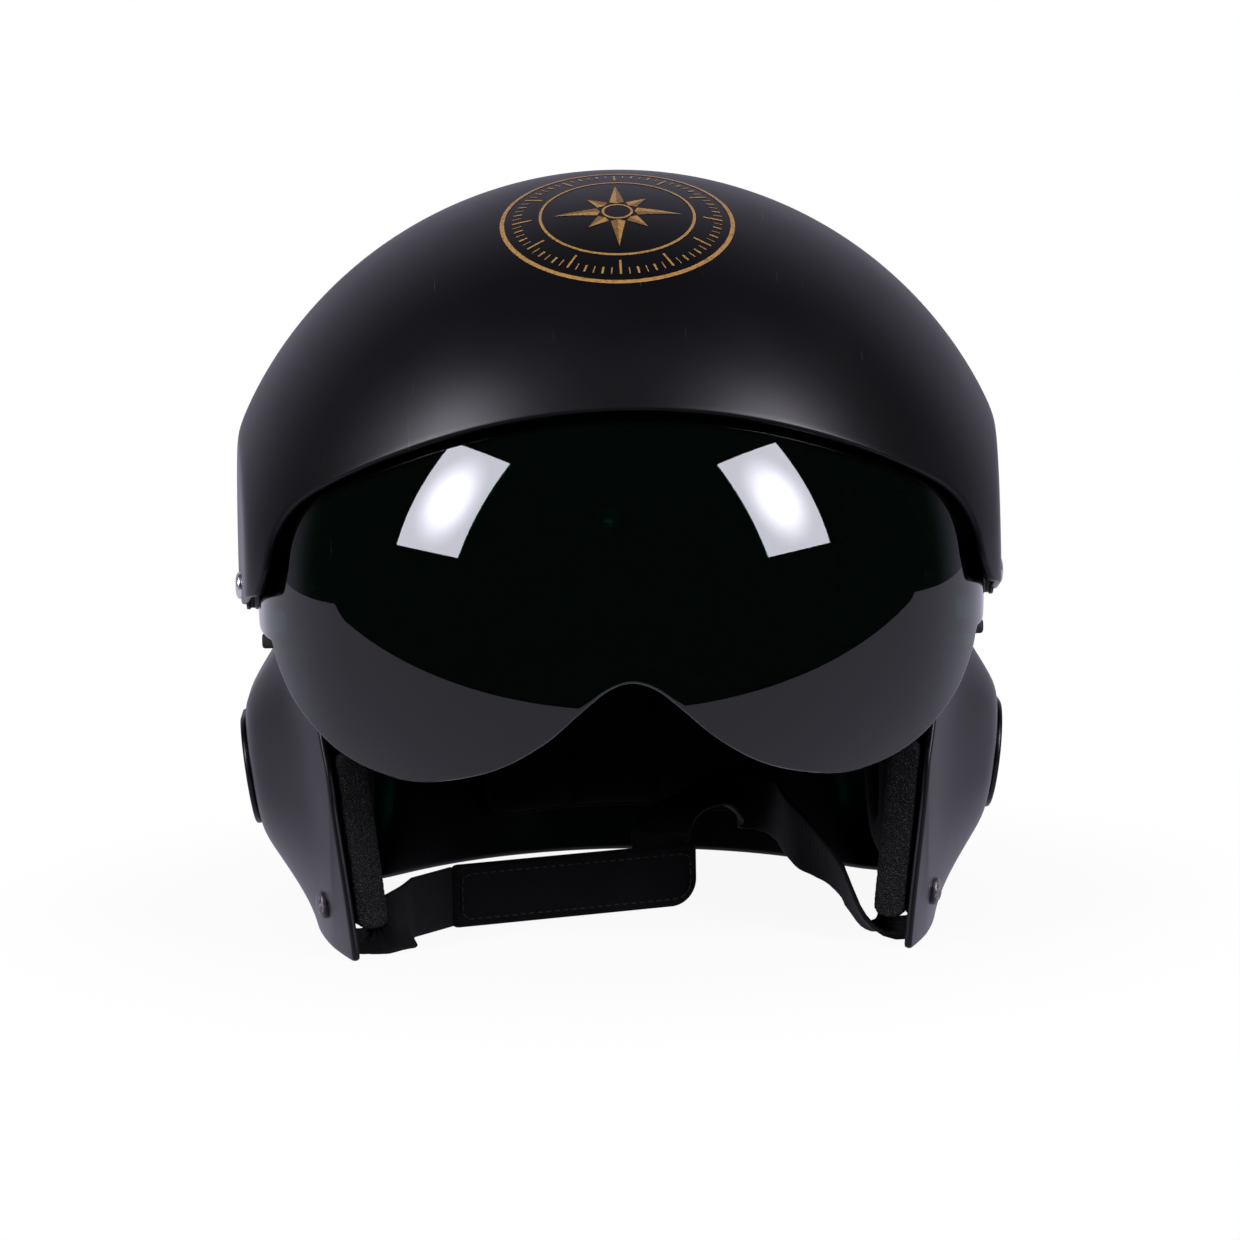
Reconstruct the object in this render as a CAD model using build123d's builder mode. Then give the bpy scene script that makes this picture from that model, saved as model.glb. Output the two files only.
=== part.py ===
from build123d import *
from math import asin, cos, degrees, radians, sin, sqrt
import os

os.makedirs("parts", exist_ok=True)

# Pilot flight helmet. Z is up, the face looks along -Y, and the lower rim rests on Z = 0.
# The X and Y origin is the middle of the whole helmet, visor included.
# Left and right are the wearer's, so the right side is at -X.

# Driving dimensions, in millimetres and degrees
rear_y = 132.5
pivot_y = -17.0
pivot_height = 113.0
shell_wall = 2.5
visor_radius = 115.5
visor_half_width = 119.5
visor_wall = 2.0
overrun = 20.0
soft_gap = 0.3
running_clearance = 0.05
face_clearance = 0.1
screw_clearance = 0.1

helmet_length = rear_y - pivot_y + visor_radius
sides = (-1, 1)

# Visor cover: a barrel about a fore-and-aft axis, with nearly flat flanks at the temples
cover_axis_height = 111.0
cover_peak_radius = 136.0
cover_peak_y = -8.0
cover_front_radius = 122.0
cover_back_radius = (cover_peak_radius**2 + (rear_y - cover_peak_y) ** 2) / (2 * cover_peak_radius)
flank_half_width = 125.3
flank_tilt = 4.0
front_hem_height = 117.0
pivot_hem_height = 106.5
hem_corner_y = -74.0

# Brow opening of the cover, seen from the front
brow_height = 178.4
brow_side_half_width = 98.5
brow_side_height = 151.5
temple_half_width = 114.4
temple_height = 126.0
hem_corner_half_width = 117.5
brow_back_y = -40.0

# Visor: turned about the pivot axis from a broad front arc, two corner arcs and flat sides
visor_front_radius = 143.0
visor_corner_radius = 75.0
visor_side_radius = 230.0
visor_edge_half_width = 113.5
visor_edge_points = (
    (111.4, 93.0),
    (105.5, 81.3),
    (94.0, 69.2),
    (81.0, 62.3),
    (65.0, 60.2),
    (44.0, 65.2),
    (28.0, 74.5),
    (15.5, 85.7),
    (7.7, 92.2),
)
notch_height = 94.8
visor_top_angle = 36.0
tab_radius = 12.0

# Helmet shell: its crown is a ball about the pivot in front and longer behind
crown_radius = 111.0
crown_back_gap = 12.5
crown_back_y = rear_y - crown_back_gap
base_heights = (0.0, 40.0, 80.0)
base_half_widths = (101.0, 105.0, 109.0)
base_front_reaches = (148.0, 142.0, 130.0)
base_back_shares = (0.832, 0.9125, 0.971)
base_back_reaches = tuple(share * (crown_back_y - pivot_y) for share in base_back_shares)

# Face opening of the helmet shell, seen from the side
shell_brow_y = -95.0
shell_brow_height = 193.0
shell_temple_y = -58.0
shell_temple_height = 118.0
shell_temple_bend = 30.0
cheek_top_y = -80.0
cheek_top_height = 60.0
cheek_top_bend = 22.0
cheek_tip_y = -88.0

# Ear bulge: a hollow swelling with a leaning face
bulge_root_half_width = 96.0
bulge_root_length = 138.0
bulge_root_height = 118.0
bulge_root_y = -3.0
bulge_root_middle = 54.0
bulge_root_corner = 48.0
bulge_half_width = 123.2
bulge_face_length = 62.0
bulge_face_height = 44.0
bulge_face_y = 2.0
bulge_face_middle = 50.5
bulge_face_corner = 20.5
bulge_lean = 7.4
bulge_slope_share = 3.4

# Ear cap: an oval plate with a raised rim on the bulge face
cap_length = 50.0
cap_height = 36.5
cap_thickness = 2.0
cap_rim = 3.0
cap_recess = 0.7
cap_drop = 1.0

# Visor pivot, from the outside to the inside
screw_radius = 2.0
screw_head_radius = 4.5
screw_head_height = 2.2
screw_head_edge = 1.0
recess_width = 1.2
recess_length = 5.0
recess_depth = 1.2
seat_radius = 8.0
cover_seat_sink = 0.5
cover_seat_thickness = 2.6
washer_thickness = 1.4
washer_radius = 7.5
visor_boss_radius = 8.0
visor_boss_thickness = 2.4
bush_radius = 4.0
shell_boss_radius = 9.0
nut_seat_half_width = 107.8
nut_washer_thickness = 0.8
nut_washer_radius = 4.6
nut_flats = 7.0
nut_thickness = 5.0
screw_tail = 0.8

# Visor stops: short rubber posts that the lowered visor rests on
stop_radius = 2.5
stop_y = -44.0
stop_root_half_width = 103.0

# Rear fixing of the cover
rear_screw_height = 118.0
rear_seat_sink = 1.4
rear_boss_proud = 0.4
rear_boss_y = crown_back_y + rear_boss_proud
rear_boss_depth = 5.0
rear_head_height = 1.2

# Foam blocks between crown and cover, behind the swept visor
foam_block_length = 30.0
foam_block_width = 32.0
foam_block_y = 40.0
foam_side_x = 62.0

# Chin strap rivets
rivet_y = -62.0
rivet_height = 14.5
rivet_boss_radius = 5.0
rivet_boss_proud = 0.8
rivet_head_radius = 3.8
rivet_head_height = 1.6
rivet_head_edge = 1.2
rivet_shank_radius = 1.6
rivet_washer_radius = 4.5
rivet_washer_thickness = 0.8
rivet_tail = 0.6

# Chin strap: webbing from both rivets to a padded band
webbing_width = 20.0
webbing_thickness = 1.6
webbing_end_height = 24.5
webbing_bend_height = 8.0
band_height = 21.0
band_thickness = 5.0
band_length = 87.7
band_start_x = -58.0
band_start_y = -39.0
band_turn = 20.7
band_corner = 9.0
band_edge = 1.5
band_lift = 0.6
band_tab_length = 76.0

# Places of the loose webbing, each with the way that its width points
right_webbing_route = (
    ((-92.2, -62.2, 4.4), (-0.1, 0.9, 0.3)),
    ((-88.0, -65.6, 2.3), (0.45, 0.85, 0)),
    ((-81.8, -71.0, 3.6), (0.5, 0.8, 0.22)),
    ((-75.5, -76.0, 8.0), (0.2, 0.6, 0.7)),
    ((-70.0, -78.2, 10.4), (-0.1, 0.25, 0.95)),
    ((-65.8, -74.5, 11.0), (0, 0, 1)),
    ((-63.6, -66.0, 11.1), (0, 0, 1)),
    ((-62.2, -55.0, 11.1), (0, 0, 1)),
    ((-60.9, -45.0, 11.1), (0, 0, 1)),
)
left_webbing_route = (
    ((92.2, -62.2, 4.4), (0.1, 0.9, 0.3)),
    ((88.4, -65.6, 2.3), (-0.45, 0.85, 0)),
    ((83.4, -70.0, 3.6), (-0.5, 0.8, 0.22)),
    ((78.8, -73.8, 8.0), (-0.2, 0.6, 0.7)),
    ((75.0, -73.6, 10.4), (0.1, 0.2, 0.95)),
    ((73.0, -68.0, 11.0), (0, 0, 1)),
    ((72.3, -57.0, 11.1), (0, 0, 1)),
    ((71.5, -35.0, 11.1), (0, 0, 1)),
    ((70.8, -10.0, 11.1), (0, 0, 1)),
    ((70.3, 12.0, 11.2), (0, 0, 1)),
    ((70.0, 32.0, 11.8), (0, 0, 1)),
    ((68.4, 44.0, 13.0), (0, 0, 1)),
    ((64.0, 51.0, 15.4), (0, 0, 1)),
    ((57.5, 53.2, 18.6), (-0.05, 0.05, 1)),
    ((50.5, 49.0, 22.8), (-0.25, 0.2, 0.95)),
    ((43.2, 40.6, 26.8), (-0.5, 0.45, 0.75)),
    ((36.0, 31.0, 29.6), (-0.65, 0.6, 0.4)),
    ((28.8, 20.8, 31.2), (-0.78, 0.6, 0.1)),
    ((21.8, 10.4, 31.4), (-0.85, 0.52, 0)),
    ((16.2, 0.8, 30.0), (-0.9, 0.4, 0)),
    ((13.2, -5.8, 26.6), (-0.93, 0.2, 0)),
)

# Printed crest on the dome
decal_radius = 37.8
decal_thickness = 0.25
decal_tilt = 24.3

# Pads
pad_thickness = 15.0
pad_half_width = 50.0
brow_pad_angles = (50.0, 68.0)
crown_pad_angles = (73.0, 112.0)
rear_pad_angles = (117.0, 148.0)
nape_pad_low = 14.0
nape_pad_high = 64.0
nape_pad_front_y = 40.0
temple_pad_length = 56.0
temple_pad_height = 40.0
temple_pad_y = -12.0
temple_pad_middle = 152.0
temple_pad_corner = 14.0
temple_pad_thickness = 12.0
ear_pad_length = 90.0
ear_pad_height = 76.0
ear_pad_corner = 36.0
ear_pad_y = 2.0
ear_pad_middle = 53.0
ear_pad_inner_half_width = 84.0
ear_pad_depth = 22.0
ear_hole_length = 42.0
ear_hole_height = 46.0
ear_hole_corner = 20.0
cheek_pad_thickness = 11.0
cheek_pad_front_gap = 1.5
cheek_pad_back_y = -48.0
cheek_pad_low = 9.5
cheek_pad_high = 66.0
cheek_pocket_depth = 4.5
cheek_pocket_width = 23.0
cheek_pocket_high = 27.0

# Corners of the webbing's section
webbing_corners = (
    (-webbing_width / 2, -webbing_thickness / 2, 0),
    (webbing_width / 2, -webbing_thickness / 2, 0),
    (webbing_width / 2, webbing_thickness / 2, 0),
    (-webbing_width / 2, webbing_thickness / 2, 0),
)

# Places of the pivot stack, worked in from the cover's seat
cover_seat_outer = flank_half_width - cover_seat_sink
cover_seat_inner = cover_seat_outer - cover_seat_thickness
visor_boss_outer = cover_seat_inner - washer_thickness - face_clearance
visor_boss_inner = visor_boss_outer - visor_boss_thickness
shell_boss_outer = visor_boss_inner - face_clearance - washer_thickness
nut_outer = nut_seat_half_width - nut_washer_thickness
nut_inner = nut_outer - nut_thickness
screw_end = nut_inner - screw_tail
screw_hole_radius = screw_radius + screw_clearance
bush_fit_radius = bush_radius + running_clearance
tab_low = pivot_height - tab_radius
stop_height = tab_low - soft_gap - stop_radius

# Places of the rear stack and of the strap rivets
rear_cover_seat_y = rear_y - rear_seat_sink
rear_inner_seat_y = rear_cover_seat_y - cover_seat_thickness
rear_nut_y = rear_boss_y - rear_boss_depth
rivet_rise_share = rivet_height / base_heights[1]
rivet_half_width = base_half_widths[0] + rivet_rise_share * (base_half_widths[1] - base_half_widths[0])
rivet_reach = base_front_reaches[0] + rivet_rise_share * (base_front_reaches[1] - base_front_reaches[0])
rivet_x = rivet_half_width * sqrt(1 - ((pivot_y - rivet_y) / rivet_reach) ** 2)
rivet_inner = shell_wall + rivet_boss_proud
strap_inner = rivet_inner + webbing_thickness
rivet_end = strap_inner + rivet_washer_thickness + rivet_tail
band_middle = band_lift + band_height / 2


def side_plane(side, half_width):
    """Plane across the X axis that faces out on its side, with its X to the rear."""
    return Plane(origin=(side * half_width, 0, 0), x_dir=(0, 1, 0), z_dir=(side, 0, 0))


def bulge_face(side, offset):
    """Plane on the leaning face of an ear bulge, with its X to the rear."""
    lean = radians(bulge_lean)
    face = Plane(
        origin=(side * bulge_half_width, 0, bulge_face_middle),
        x_dir=(0, 1, 0),
        z_dir=(side * cos(lean), 0, -sin(lean)),
    )
    return face.offset(offset)


def rivet_plane(side, offset):
    """Plane square to a strap rivet, offset out from the shell's surface, with its X up."""
    surface = Plane(
        origin=(side * rivet_x, rivet_y, 0),
        x_dir=(0, 0, 1),
        z_dir=(side * rivet_x / rivet_half_width**2, (rivet_y - pivot_y) / rivet_reach**2, 0),
    )
    return surface.offset(offset)


def barrel(inset):
    """Form of the visor cover, inset from its outside."""
    front_radius = cover_front_radius - inset
    front_rise = cover_peak_radius - cover_front_radius
    back_radius = cover_back_radius - inset
    back_rise = cover_peak_radius - cover_back_radius
    front_turn = 90 + degrees(asin(front_rise / front_radius))
    back_turn = 90 + degrees(asin(back_rise / back_radius))
    profile_plane = Plane(origin=(0, 0, cover_axis_height), x_dir=(0, 1, 0), z_dir=(1, 0, 0))
    with BuildPart() as form:
        with BuildSketch(profile_plane):
            with BuildLine():
                front = CenterArc((cover_peak_y, front_rise), front_radius, 90, front_turn)
                back = CenterArc((cover_peak_y, back_rise), back_radius, 90, -back_turn)
                Line(front @ 1, back @ 1)
            make_face()
        revolve(axis=Axis((0, 0, cover_axis_height), (0, 1, 0)))
        for side in sides:
            flank = Plane(
                origin=(side * (flank_half_width - inset), pivot_y, pivot_height),
                x_dir=(0, 0, 1),
                z_dir=(side * cos(radians(flank_tilt)), -sin(radians(flank_tilt)), 0),
            )
            split(bisect_by=flank, keep=Keep.BOTTOM)
    return form.part


def visor_form(inset):
    """Form of the whole visor bowl about the pivot axis, inset from its outside."""
    axis_plane = Plane(origin=(0, pivot_y, pivot_height), x_dir=(1, 0, 0), z_dir=(0, -1, 0))
    with BuildPart() as form:
        with BuildSketch(axis_plane) as profile:
            with Locations((0, visor_radius - visor_front_radius)):
                Circle(visor_front_radius - inset)
            for side in sides:
                with Locations((side * (visor_half_width - visor_side_radius), 0)):
                    Circle(visor_side_radius - inset, mode=Mode.INTERSECT)
            with Locations((0, visor_radius)):
                Rectangle(2 * visor_half_width, 2 * visor_radius, mode=Mode.INTERSECT)
            fillet(profile.vertices().group_by(Axis.Y)[-1], visor_corner_radius - inset)
        revolve(axis=Axis((0, pivot_y, pivot_height), (1, 0, 0)))
    return form.part


def crown(inset):
    """Form of the helmet shell above the pivot, inset from its outside."""
    radius = crown_radius - inset
    reach = crown_back_y - pivot_y - inset
    profile_plane = Plane(origin=(0, 0, pivot_height), x_dir=(0, 1, 0), z_dir=(1, 0, 0))
    with BuildPart() as form:
        with BuildSketch(profile_plane):
            with BuildLine():
                front = CenterArc((pivot_y, 0), radius, 90, 90)
                back = EllipticalCenterArc((pivot_y, 0), reach, radius, 0, arc_size=90)
                Line(front @ 1, back @ 0)
            make_face()
        revolve(axis=Axis((0, 0, pivot_height), (0, 1, 0)))
        split(bisect_by=Plane.XY.offset(pivot_height), keep=Keep.TOP)
    return form.part


def base(inset):
    """Form of the helmet shell from the rim up to the pivot, inset from its outside."""
    heights = base_heights + (pivot_height,)
    widths = base_half_widths + (crown_radius,)
    fronts = base_front_reaches + (crown_radius,)
    backs = base_back_reaches + (crown_back_y - pivot_y,)
    with BuildPart() as form:
        for height, width, front, back in zip(heights, widths, fronts, backs):
            with BuildSketch(Plane.XY.offset(height)):
                with BuildLine():
                    EllipticalCenterArc((0, pivot_y), width - inset, back - inset, 0, arc_size=180)
                    EllipticalCenterArc((0, pivot_y), width - inset, front - inset, 180, arc_size=180)
                make_face()
        loft()
    return form.part


def head_form(inset):
    """Form of the helmet shell without its ear bulges, inset from its outside."""
    upper = crown(inset)
    lower = base(inset)
    with BuildPart() as form:
        add(upper)
        add(lower)
    return form.part


def bulge(side, inset):
    """Form of one ear bulge, inset from its outside."""
    slope_inset = bulge_slope_share * inset
    with BuildPart() as form:
        with BuildSketch(side_plane(side, bulge_root_half_width)):
            with Locations((bulge_root_y, side * bulge_root_middle)):
                RectangleRounded(
                    bulge_root_length - slope_inset,
                    bulge_root_height - slope_inset,
                    bulge_root_corner - slope_inset / 2,
                )
        with BuildSketch(bulge_face(side, -inset)):
            with Locations((bulge_face_y, 0)):
                RectangleRounded(
                    bulge_face_length - inset, bulge_face_height - inset, bulge_face_corner - inset / 2
                )
        loft()
    return form.part


def webbing(starts, route, ends):
    """Webbing from flat sections at one end, through the places of a route, to the other end."""
    places = [starts[-1].origin] + [Vector(*place) for place, across in route] + [ends[0].origin]
    sections = list(starts)
    for index, (place, across) in enumerate(route):
        along = (places[index + 2] - places[index]).normalized()
        wide = Vector(*across)
        square = wide - along * wide.dot(along)
        sections.append(Plane(origin=place, x_dir=square, z_dir=along))
    sections.extend(ends)
    corners = [[plane.from_local_coords(corner) for corner in webbing_corners] for plane in sections]
    skin = [Face(Wire.make_polygon(corners[0])), Face(Wire.make_polygon(corners[-1]))]
    for before, after in zip(corners, corners[1:]):
        for low, high in ((0, 1), (3, 2), (3, 0), (2, 1)):
            skin.append(Face(Wire.make_polygon((before[low], before[high], after[high]))))
            skin.append(Face(Wire.make_polygon((before[low], after[high], after[low]))))
    with BuildPart() as form:
        add(Solid(Shell(skin)))
    return form.part


def save(part, name):
    """Label a finished piece and write it out."""
    part.label = name
    export_step(part, f"parts/{name}.step")


cover_outside = barrel(0)
cover_inside = barrel(shell_wall)
visor_outside = visor_form(0)
visor_inside = visor_form(visor_wall)
head_outside = head_form(0)
head_inside = head_form(shell_wall)
pad_outside = head_form(shell_wall + soft_gap)
pad_inside = head_form(shell_wall + soft_gap + pad_thickness)
bulges_outside = [bulge(side, 0) for side in sides]
bulges_inside = [bulge(side, shell_wall) for side in sides]

# Visor cover: one moulding, open at the brow, with seats for the pivot and rear screws
with BuildPart() as visor_cover:
    add(cover_outside)
    add(cover_inside, mode=Mode.SUBTRACT)
    with BuildSketch(Plane.YZ):
        with BuildLine():
            Polyline(
                (-helmet_length, front_hem_height),
                (hem_corner_y, front_hem_height),
                (pivot_y, pivot_hem_height),
                (helmet_length, pivot_hem_height),
                (helmet_length, -helmet_length),
                (-helmet_length, -helmet_length),
                close=True,
            )
        make_face()
    extrude(amount=helmet_length, both=True, mode=Mode.SUBTRACT)
    with BuildSketch(Plane.XZ.offset(-brow_back_y)):
        with BuildLine():
            brow = ThreePointArc(
                (-brow_side_half_width, brow_side_height),
                (0, brow_height),
                (brow_side_half_width, brow_side_height),
            )
            temple_ends = [(side * temple_half_width, temple_height) for side in sides]
            TangentArc(brow @ 0, temple_ends[0], tangent=-(brow % 0))
            TangentArc(brow @ 1, temple_ends[1], tangent=brow % 1)
            Polyline(
                temple_ends[1],
                (hem_corner_half_width, front_hem_height),
                (hem_corner_half_width, 0),
                (-hem_corner_half_width, 0),
                (-hem_corner_half_width, front_hem_height),
                temple_ends[0],
            )
        make_face()
    extrude(amount=helmet_length, mode=Mode.SUBTRACT)
    for side in sides:
        with BuildSketch(side_plane(side, cover_seat_inner)):
            with Locations((pivot_y, side * pivot_height)):
                Circle(seat_radius)
        extrude(amount=cover_seat_thickness)
        with BuildSketch(side_plane(side, cover_seat_outer)):
            with Locations((pivot_y, side * pivot_height)):
                Circle(seat_radius)
        extrude(amount=overrun, mode=Mode.SUBTRACT)
        with BuildSketch(side_plane(side, cover_seat_inner)):
            with Locations((pivot_y, side * pivot_height)):
                Circle(screw_hole_radius)
        extrude(amount=overrun, both=True, mode=Mode.SUBTRACT)
    with BuildSketch(Plane.XZ.offset(-rear_inner_seat_y)):
        with Locations((0, rear_screw_height)):
            Circle(seat_radius)
    extrude(amount=-cover_seat_thickness)
    with BuildSketch(Plane.XZ.offset(-rear_cover_seat_y)):
        with Locations((0, rear_screw_height)):
            Circle(seat_radius)
    extrude(amount=-overrun, mode=Mode.SUBTRACT)
    with BuildSketch(Plane.XZ.offset(-rear_inner_seat_y)):
        with Locations((0, rear_screw_height)):
            Circle(screw_hole_radius)
    extrude(amount=overrun, both=True, mode=Mode.SUBTRACT)
save(visor_cover.part, "visor_cover")

# Helmet shell: crown, base and ear bulges in one moulding, with a boss for every fastener
with BuildPart() as helmet_shell:
    add(head_outside)
    add(bulges_outside)
    add(head_inside, mode=Mode.SUBTRACT)
    add(bulges_inside, mode=Mode.SUBTRACT)
    split(bisect_by=Plane.XY, keep=Keep.TOP)
    with BuildSketch(Plane.YZ) as face_opening:
        with BuildLine():
            Polyline(
                (-helmet_length, shell_brow_height),
                (shell_brow_y, shell_brow_height),
                (shell_temple_y, shell_temple_height),
                (cheek_top_y, cheek_top_height),
                (cheek_tip_y, 0),
                (cheek_tip_y, -overrun),
                (-helmet_length, -overrun),
                close=True,
            )
        make_face()
        temple = face_opening.vertices().sort_by_distance((shell_temple_y, shell_temple_height))[0]
        fillet(temple, shell_temple_bend)
        cheek = face_opening.vertices().sort_by_distance((cheek_top_y, cheek_top_height))[0]
        fillet(cheek, cheek_top_bend)
    extrude(amount=helmet_length, both=True, mode=Mode.SUBTRACT)
    for side in sides:
        with BuildSketch(side_plane(side, nut_seat_half_width)):
            with Locations((pivot_y, side * pivot_height)):
                Circle(shell_boss_radius)
        extrude(amount=shell_boss_outer - nut_seat_half_width)
        with BuildSketch(side_plane(side, nut_seat_half_width)):
            with Locations((pivot_y, side * pivot_height)):
                Circle(screw_hole_radius)
        extrude(amount=overrun, both=True, mode=Mode.SUBTRACT)
        with BuildSketch(side_plane(side, stop_root_half_width)):
            with Locations((stop_y, side * stop_height)):
                Circle(stop_radius + running_clearance)
        extrude(amount=overrun, mode=Mode.SUBTRACT)
        with BuildSketch(rivet_plane(side, -rivet_inner)):
            with Locations((rivet_height, 0)):
                Circle(rivet_boss_radius)
        extrude(amount=rivet_inner + rivet_boss_proud)
        with BuildSketch(rivet_plane(side, 0)):
            with Locations((rivet_height, 0)):
                Circle(rivet_shank_radius)
        extrude(amount=overrun, both=True, mode=Mode.SUBTRACT)
    with BuildSketch(Plane.XZ.offset(-rear_nut_y)):
        with Locations((0, rear_screw_height)):
            Circle(shell_boss_radius)
    extrude(amount=-rear_boss_depth)
    with BuildSketch(Plane.XZ.offset(-rear_nut_y)):
        with Locations((0, rear_screw_height)):
            Circle(screw_hole_radius)
    extrude(amount=overrun, both=True, mode=Mode.SUBTRACT)
save(helmet_shell.part, "helmet_shell")

# Visor: thin tinted bowl, cut to a nose notch below and a straight hidden edge above
top_rise = sin(radians(visor_top_angle))
top_run = cos(radians(visor_top_angle))
tab_top = (pivot_y + tab_radius * top_rise, pivot_height + tab_radius * top_run)
tab_bottom = (pivot_y, tab_low)
tab_back = (pivot_y + tab_radius, pivot_height)
top_end = (tab_top[0] - helmet_length * top_run, tab_top[1] + helmet_length * top_rise)
right_edge_points = [(-x, z) for x, z in visor_edge_points]
left_edge_points = list(reversed(visor_edge_points))
with BuildPart() as visor:
    add(visor_outside)
    add(visor_inside, mode=Mode.SUBTRACT)
    with BuildSketch(Plane.YZ):
        with BuildLine():
            ThreePointArc(tab_bottom, tab_back, tab_top)
            Polyline(tab_top, top_end, (top_end[0], 0), (pivot_y, 0), tab_bottom)
        make_face()
    extrude(amount=helmet_length, both=True, mode=Mode.INTERSECT)
    with BuildSketch(Plane.XZ):
        with BuildLine():
            edge = Spline(
                (-visor_edge_half_width, tab_low),
                *right_edge_points,
                (0, notch_height),
                *left_edge_points,
                (visor_edge_half_width, tab_low),
                tangents=((0, -1), (0, 1)),
            )
            Polyline(
                edge @ 1,
                (helmet_length, tab_low),
                (helmet_length, -overrun),
                (-helmet_length, -overrun),
                (-helmet_length, tab_low),
                edge @ 0,
            )
        make_face()
    extrude(amount=helmet_length, both=True, mode=Mode.SUBTRACT)
    for side in sides:
        with BuildSketch(side_plane(side, visor_boss_inner)):
            with Locations((pivot_y, side * pivot_height)):
                Circle(visor_boss_radius)
        extrude(amount=visor_boss_thickness)
        with BuildSketch(side_plane(side, visor_boss_inner)):
            with Locations((pivot_y, side * pivot_height)):
                Circle(visor_boss_radius)
        extrude(amount=-overrun, mode=Mode.SUBTRACT)
        with BuildSketch(side_plane(side, visor_boss_inner)):
            with Locations((pivot_y, side * pivot_height)):
                Circle(bush_fit_radius)
        extrude(amount=overrun, both=True, mode=Mode.SUBTRACT)
save(visor.part, "visor")

# Friction washers: outside between visor and cover, inside between visor and shell
with BuildPart() as outer_friction_washers:
    for side in sides:
        with BuildSketch(side_plane(side, cover_seat_inner)):
            with Locations((pivot_y, side * pivot_height)):
                Circle(washer_radius)
                Circle(bush_fit_radius, mode=Mode.SUBTRACT)
        extrude(amount=-washer_thickness)
save(outer_friction_washers.part, "outer_friction_washers")

with BuildPart() as inner_friction_washers:
    for side in sides:
        with BuildSketch(side_plane(side, shell_boss_outer)):
            with Locations((pivot_y, side * pivot_height)):
                Circle(washer_radius)
                Circle(bush_fit_radius, mode=Mode.SUBTRACT)
        extrude(amount=washer_thickness)
save(inner_friction_washers.part, "inner_friction_washers")

# Pivot bushes: the visor turns on them, and the screws clamp them between shell and cover
with BuildPart() as pivot_bushes:
    for side in sides:
        with BuildSketch(side_plane(side, shell_boss_outer)):
            with Locations((pivot_y, side * pivot_height)):
                Circle(bush_radius)
                Circle(screw_hole_radius, mode=Mode.SUBTRACT)
        extrude(amount=cover_seat_inner - shell_boss_outer)
save(pivot_bushes.part, "pivot_bushes")

# Pivot screws: pan heads with a cross recess
with BuildPart() as pivot_screws:
    for side in sides:
        with BuildSketch(side_plane(side, cover_seat_outer)):
            with Locations((pivot_y, side * pivot_height)):
                Circle(screw_head_radius)
        extrude(amount=screw_head_height)
        fillet(faces().sort_by(Axis.X, reverse=side > 0)[0].edges(), screw_head_edge)
        with BuildSketch(side_plane(side, cover_seat_outer + screw_head_height)):
            with Locations((pivot_y, side * pivot_height)):
                Rectangle(recess_length, recess_width)
                Rectangle(recess_width, recess_length)
        extrude(amount=-recess_depth, mode=Mode.SUBTRACT)
        with BuildSketch(side_plane(side, cover_seat_outer)):
            with Locations((pivot_y, side * pivot_height)):
                Circle(screw_radius)
        extrude(amount=screw_end - cover_seat_outer)
save(pivot_screws.part, "pivot_screws")

with BuildPart() as nut_washers:
    for side in sides:
        with BuildSketch(side_plane(side, nut_seat_half_width)):
            with Locations((pivot_y, side * pivot_height)):
                Circle(nut_washer_radius)
                Circle(screw_hole_radius, mode=Mode.SUBTRACT)
        extrude(amount=-nut_washer_thickness)
save(nut_washers.part, "nut_washers")

with BuildPart() as pivot_nuts:
    for side in sides:
        with BuildSketch(side_plane(side, nut_outer)):
            with Locations((pivot_y, side * pivot_height)):
                RegularPolygon(nut_flats / 2, 6, major_radius=False)
                Circle(screw_radius, mode=Mode.SUBTRACT)
        extrude(amount=-nut_thickness)
save(pivot_nuts.part, "pivot_nuts")

# Visor stops: posts pushed through the shell, just under the edge of the lowered visor
with BuildPart() as visor_stops:
    for side in sides:
        with BuildSketch(side_plane(side, stop_root_half_width)):
            with Locations((stop_y, side * stop_height)):
                Circle(stop_radius)
        extrude(amount=visor_half_width - visor_wall - stop_root_half_width)
save(visor_stops.part, "visor_stops")

# Rear fixing: screw, spacer and nut that carry the back of the cover
with BuildPart() as rear_spacer:
    with BuildSketch(Plane.XZ.offset(-rear_boss_y)):
        with Locations((0, rear_screw_height)):
            Circle(seat_radius)
            Circle(screw_hole_radius, mode=Mode.SUBTRACT)
    extrude(amount=rear_boss_y - rear_inner_seat_y)
save(rear_spacer.part, "rear_spacer")

with BuildPart() as rear_screw:
    with BuildSketch(Plane.XZ.offset(-rear_cover_seat_y)):
        with Locations((0, rear_screw_height)):
            Circle(screw_head_radius)
    extrude(amount=-rear_head_height)
    with BuildSketch(Plane.XZ.offset(-rear_cover_seat_y - rear_head_height)):
        with Locations((0, rear_screw_height)):
            Rectangle(recess_length, recess_width)
            Rectangle(recess_width, recess_length)
    extrude(amount=rear_head_height / 2, mode=Mode.SUBTRACT)
    with BuildSketch(Plane.XZ.offset(-rear_cover_seat_y)):
        with Locations((0, rear_screw_height)):
            Circle(screw_radius)
    extrude(amount=rear_cover_seat_y - rear_nut_y + nut_thickness + screw_tail)
save(rear_screw.part, "rear_screw")

with BuildPart() as rear_nut:
    with BuildSketch(Plane.XZ.offset(-rear_nut_y)):
        with Locations((0, rear_screw_height)):
            RegularPolygon(nut_flats / 2, 6, major_radius=False)
            Circle(screw_radius, mode=Mode.SUBTRACT)
    extrude(amount=nut_thickness)
save(rear_nut.part, "rear_nut")

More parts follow.
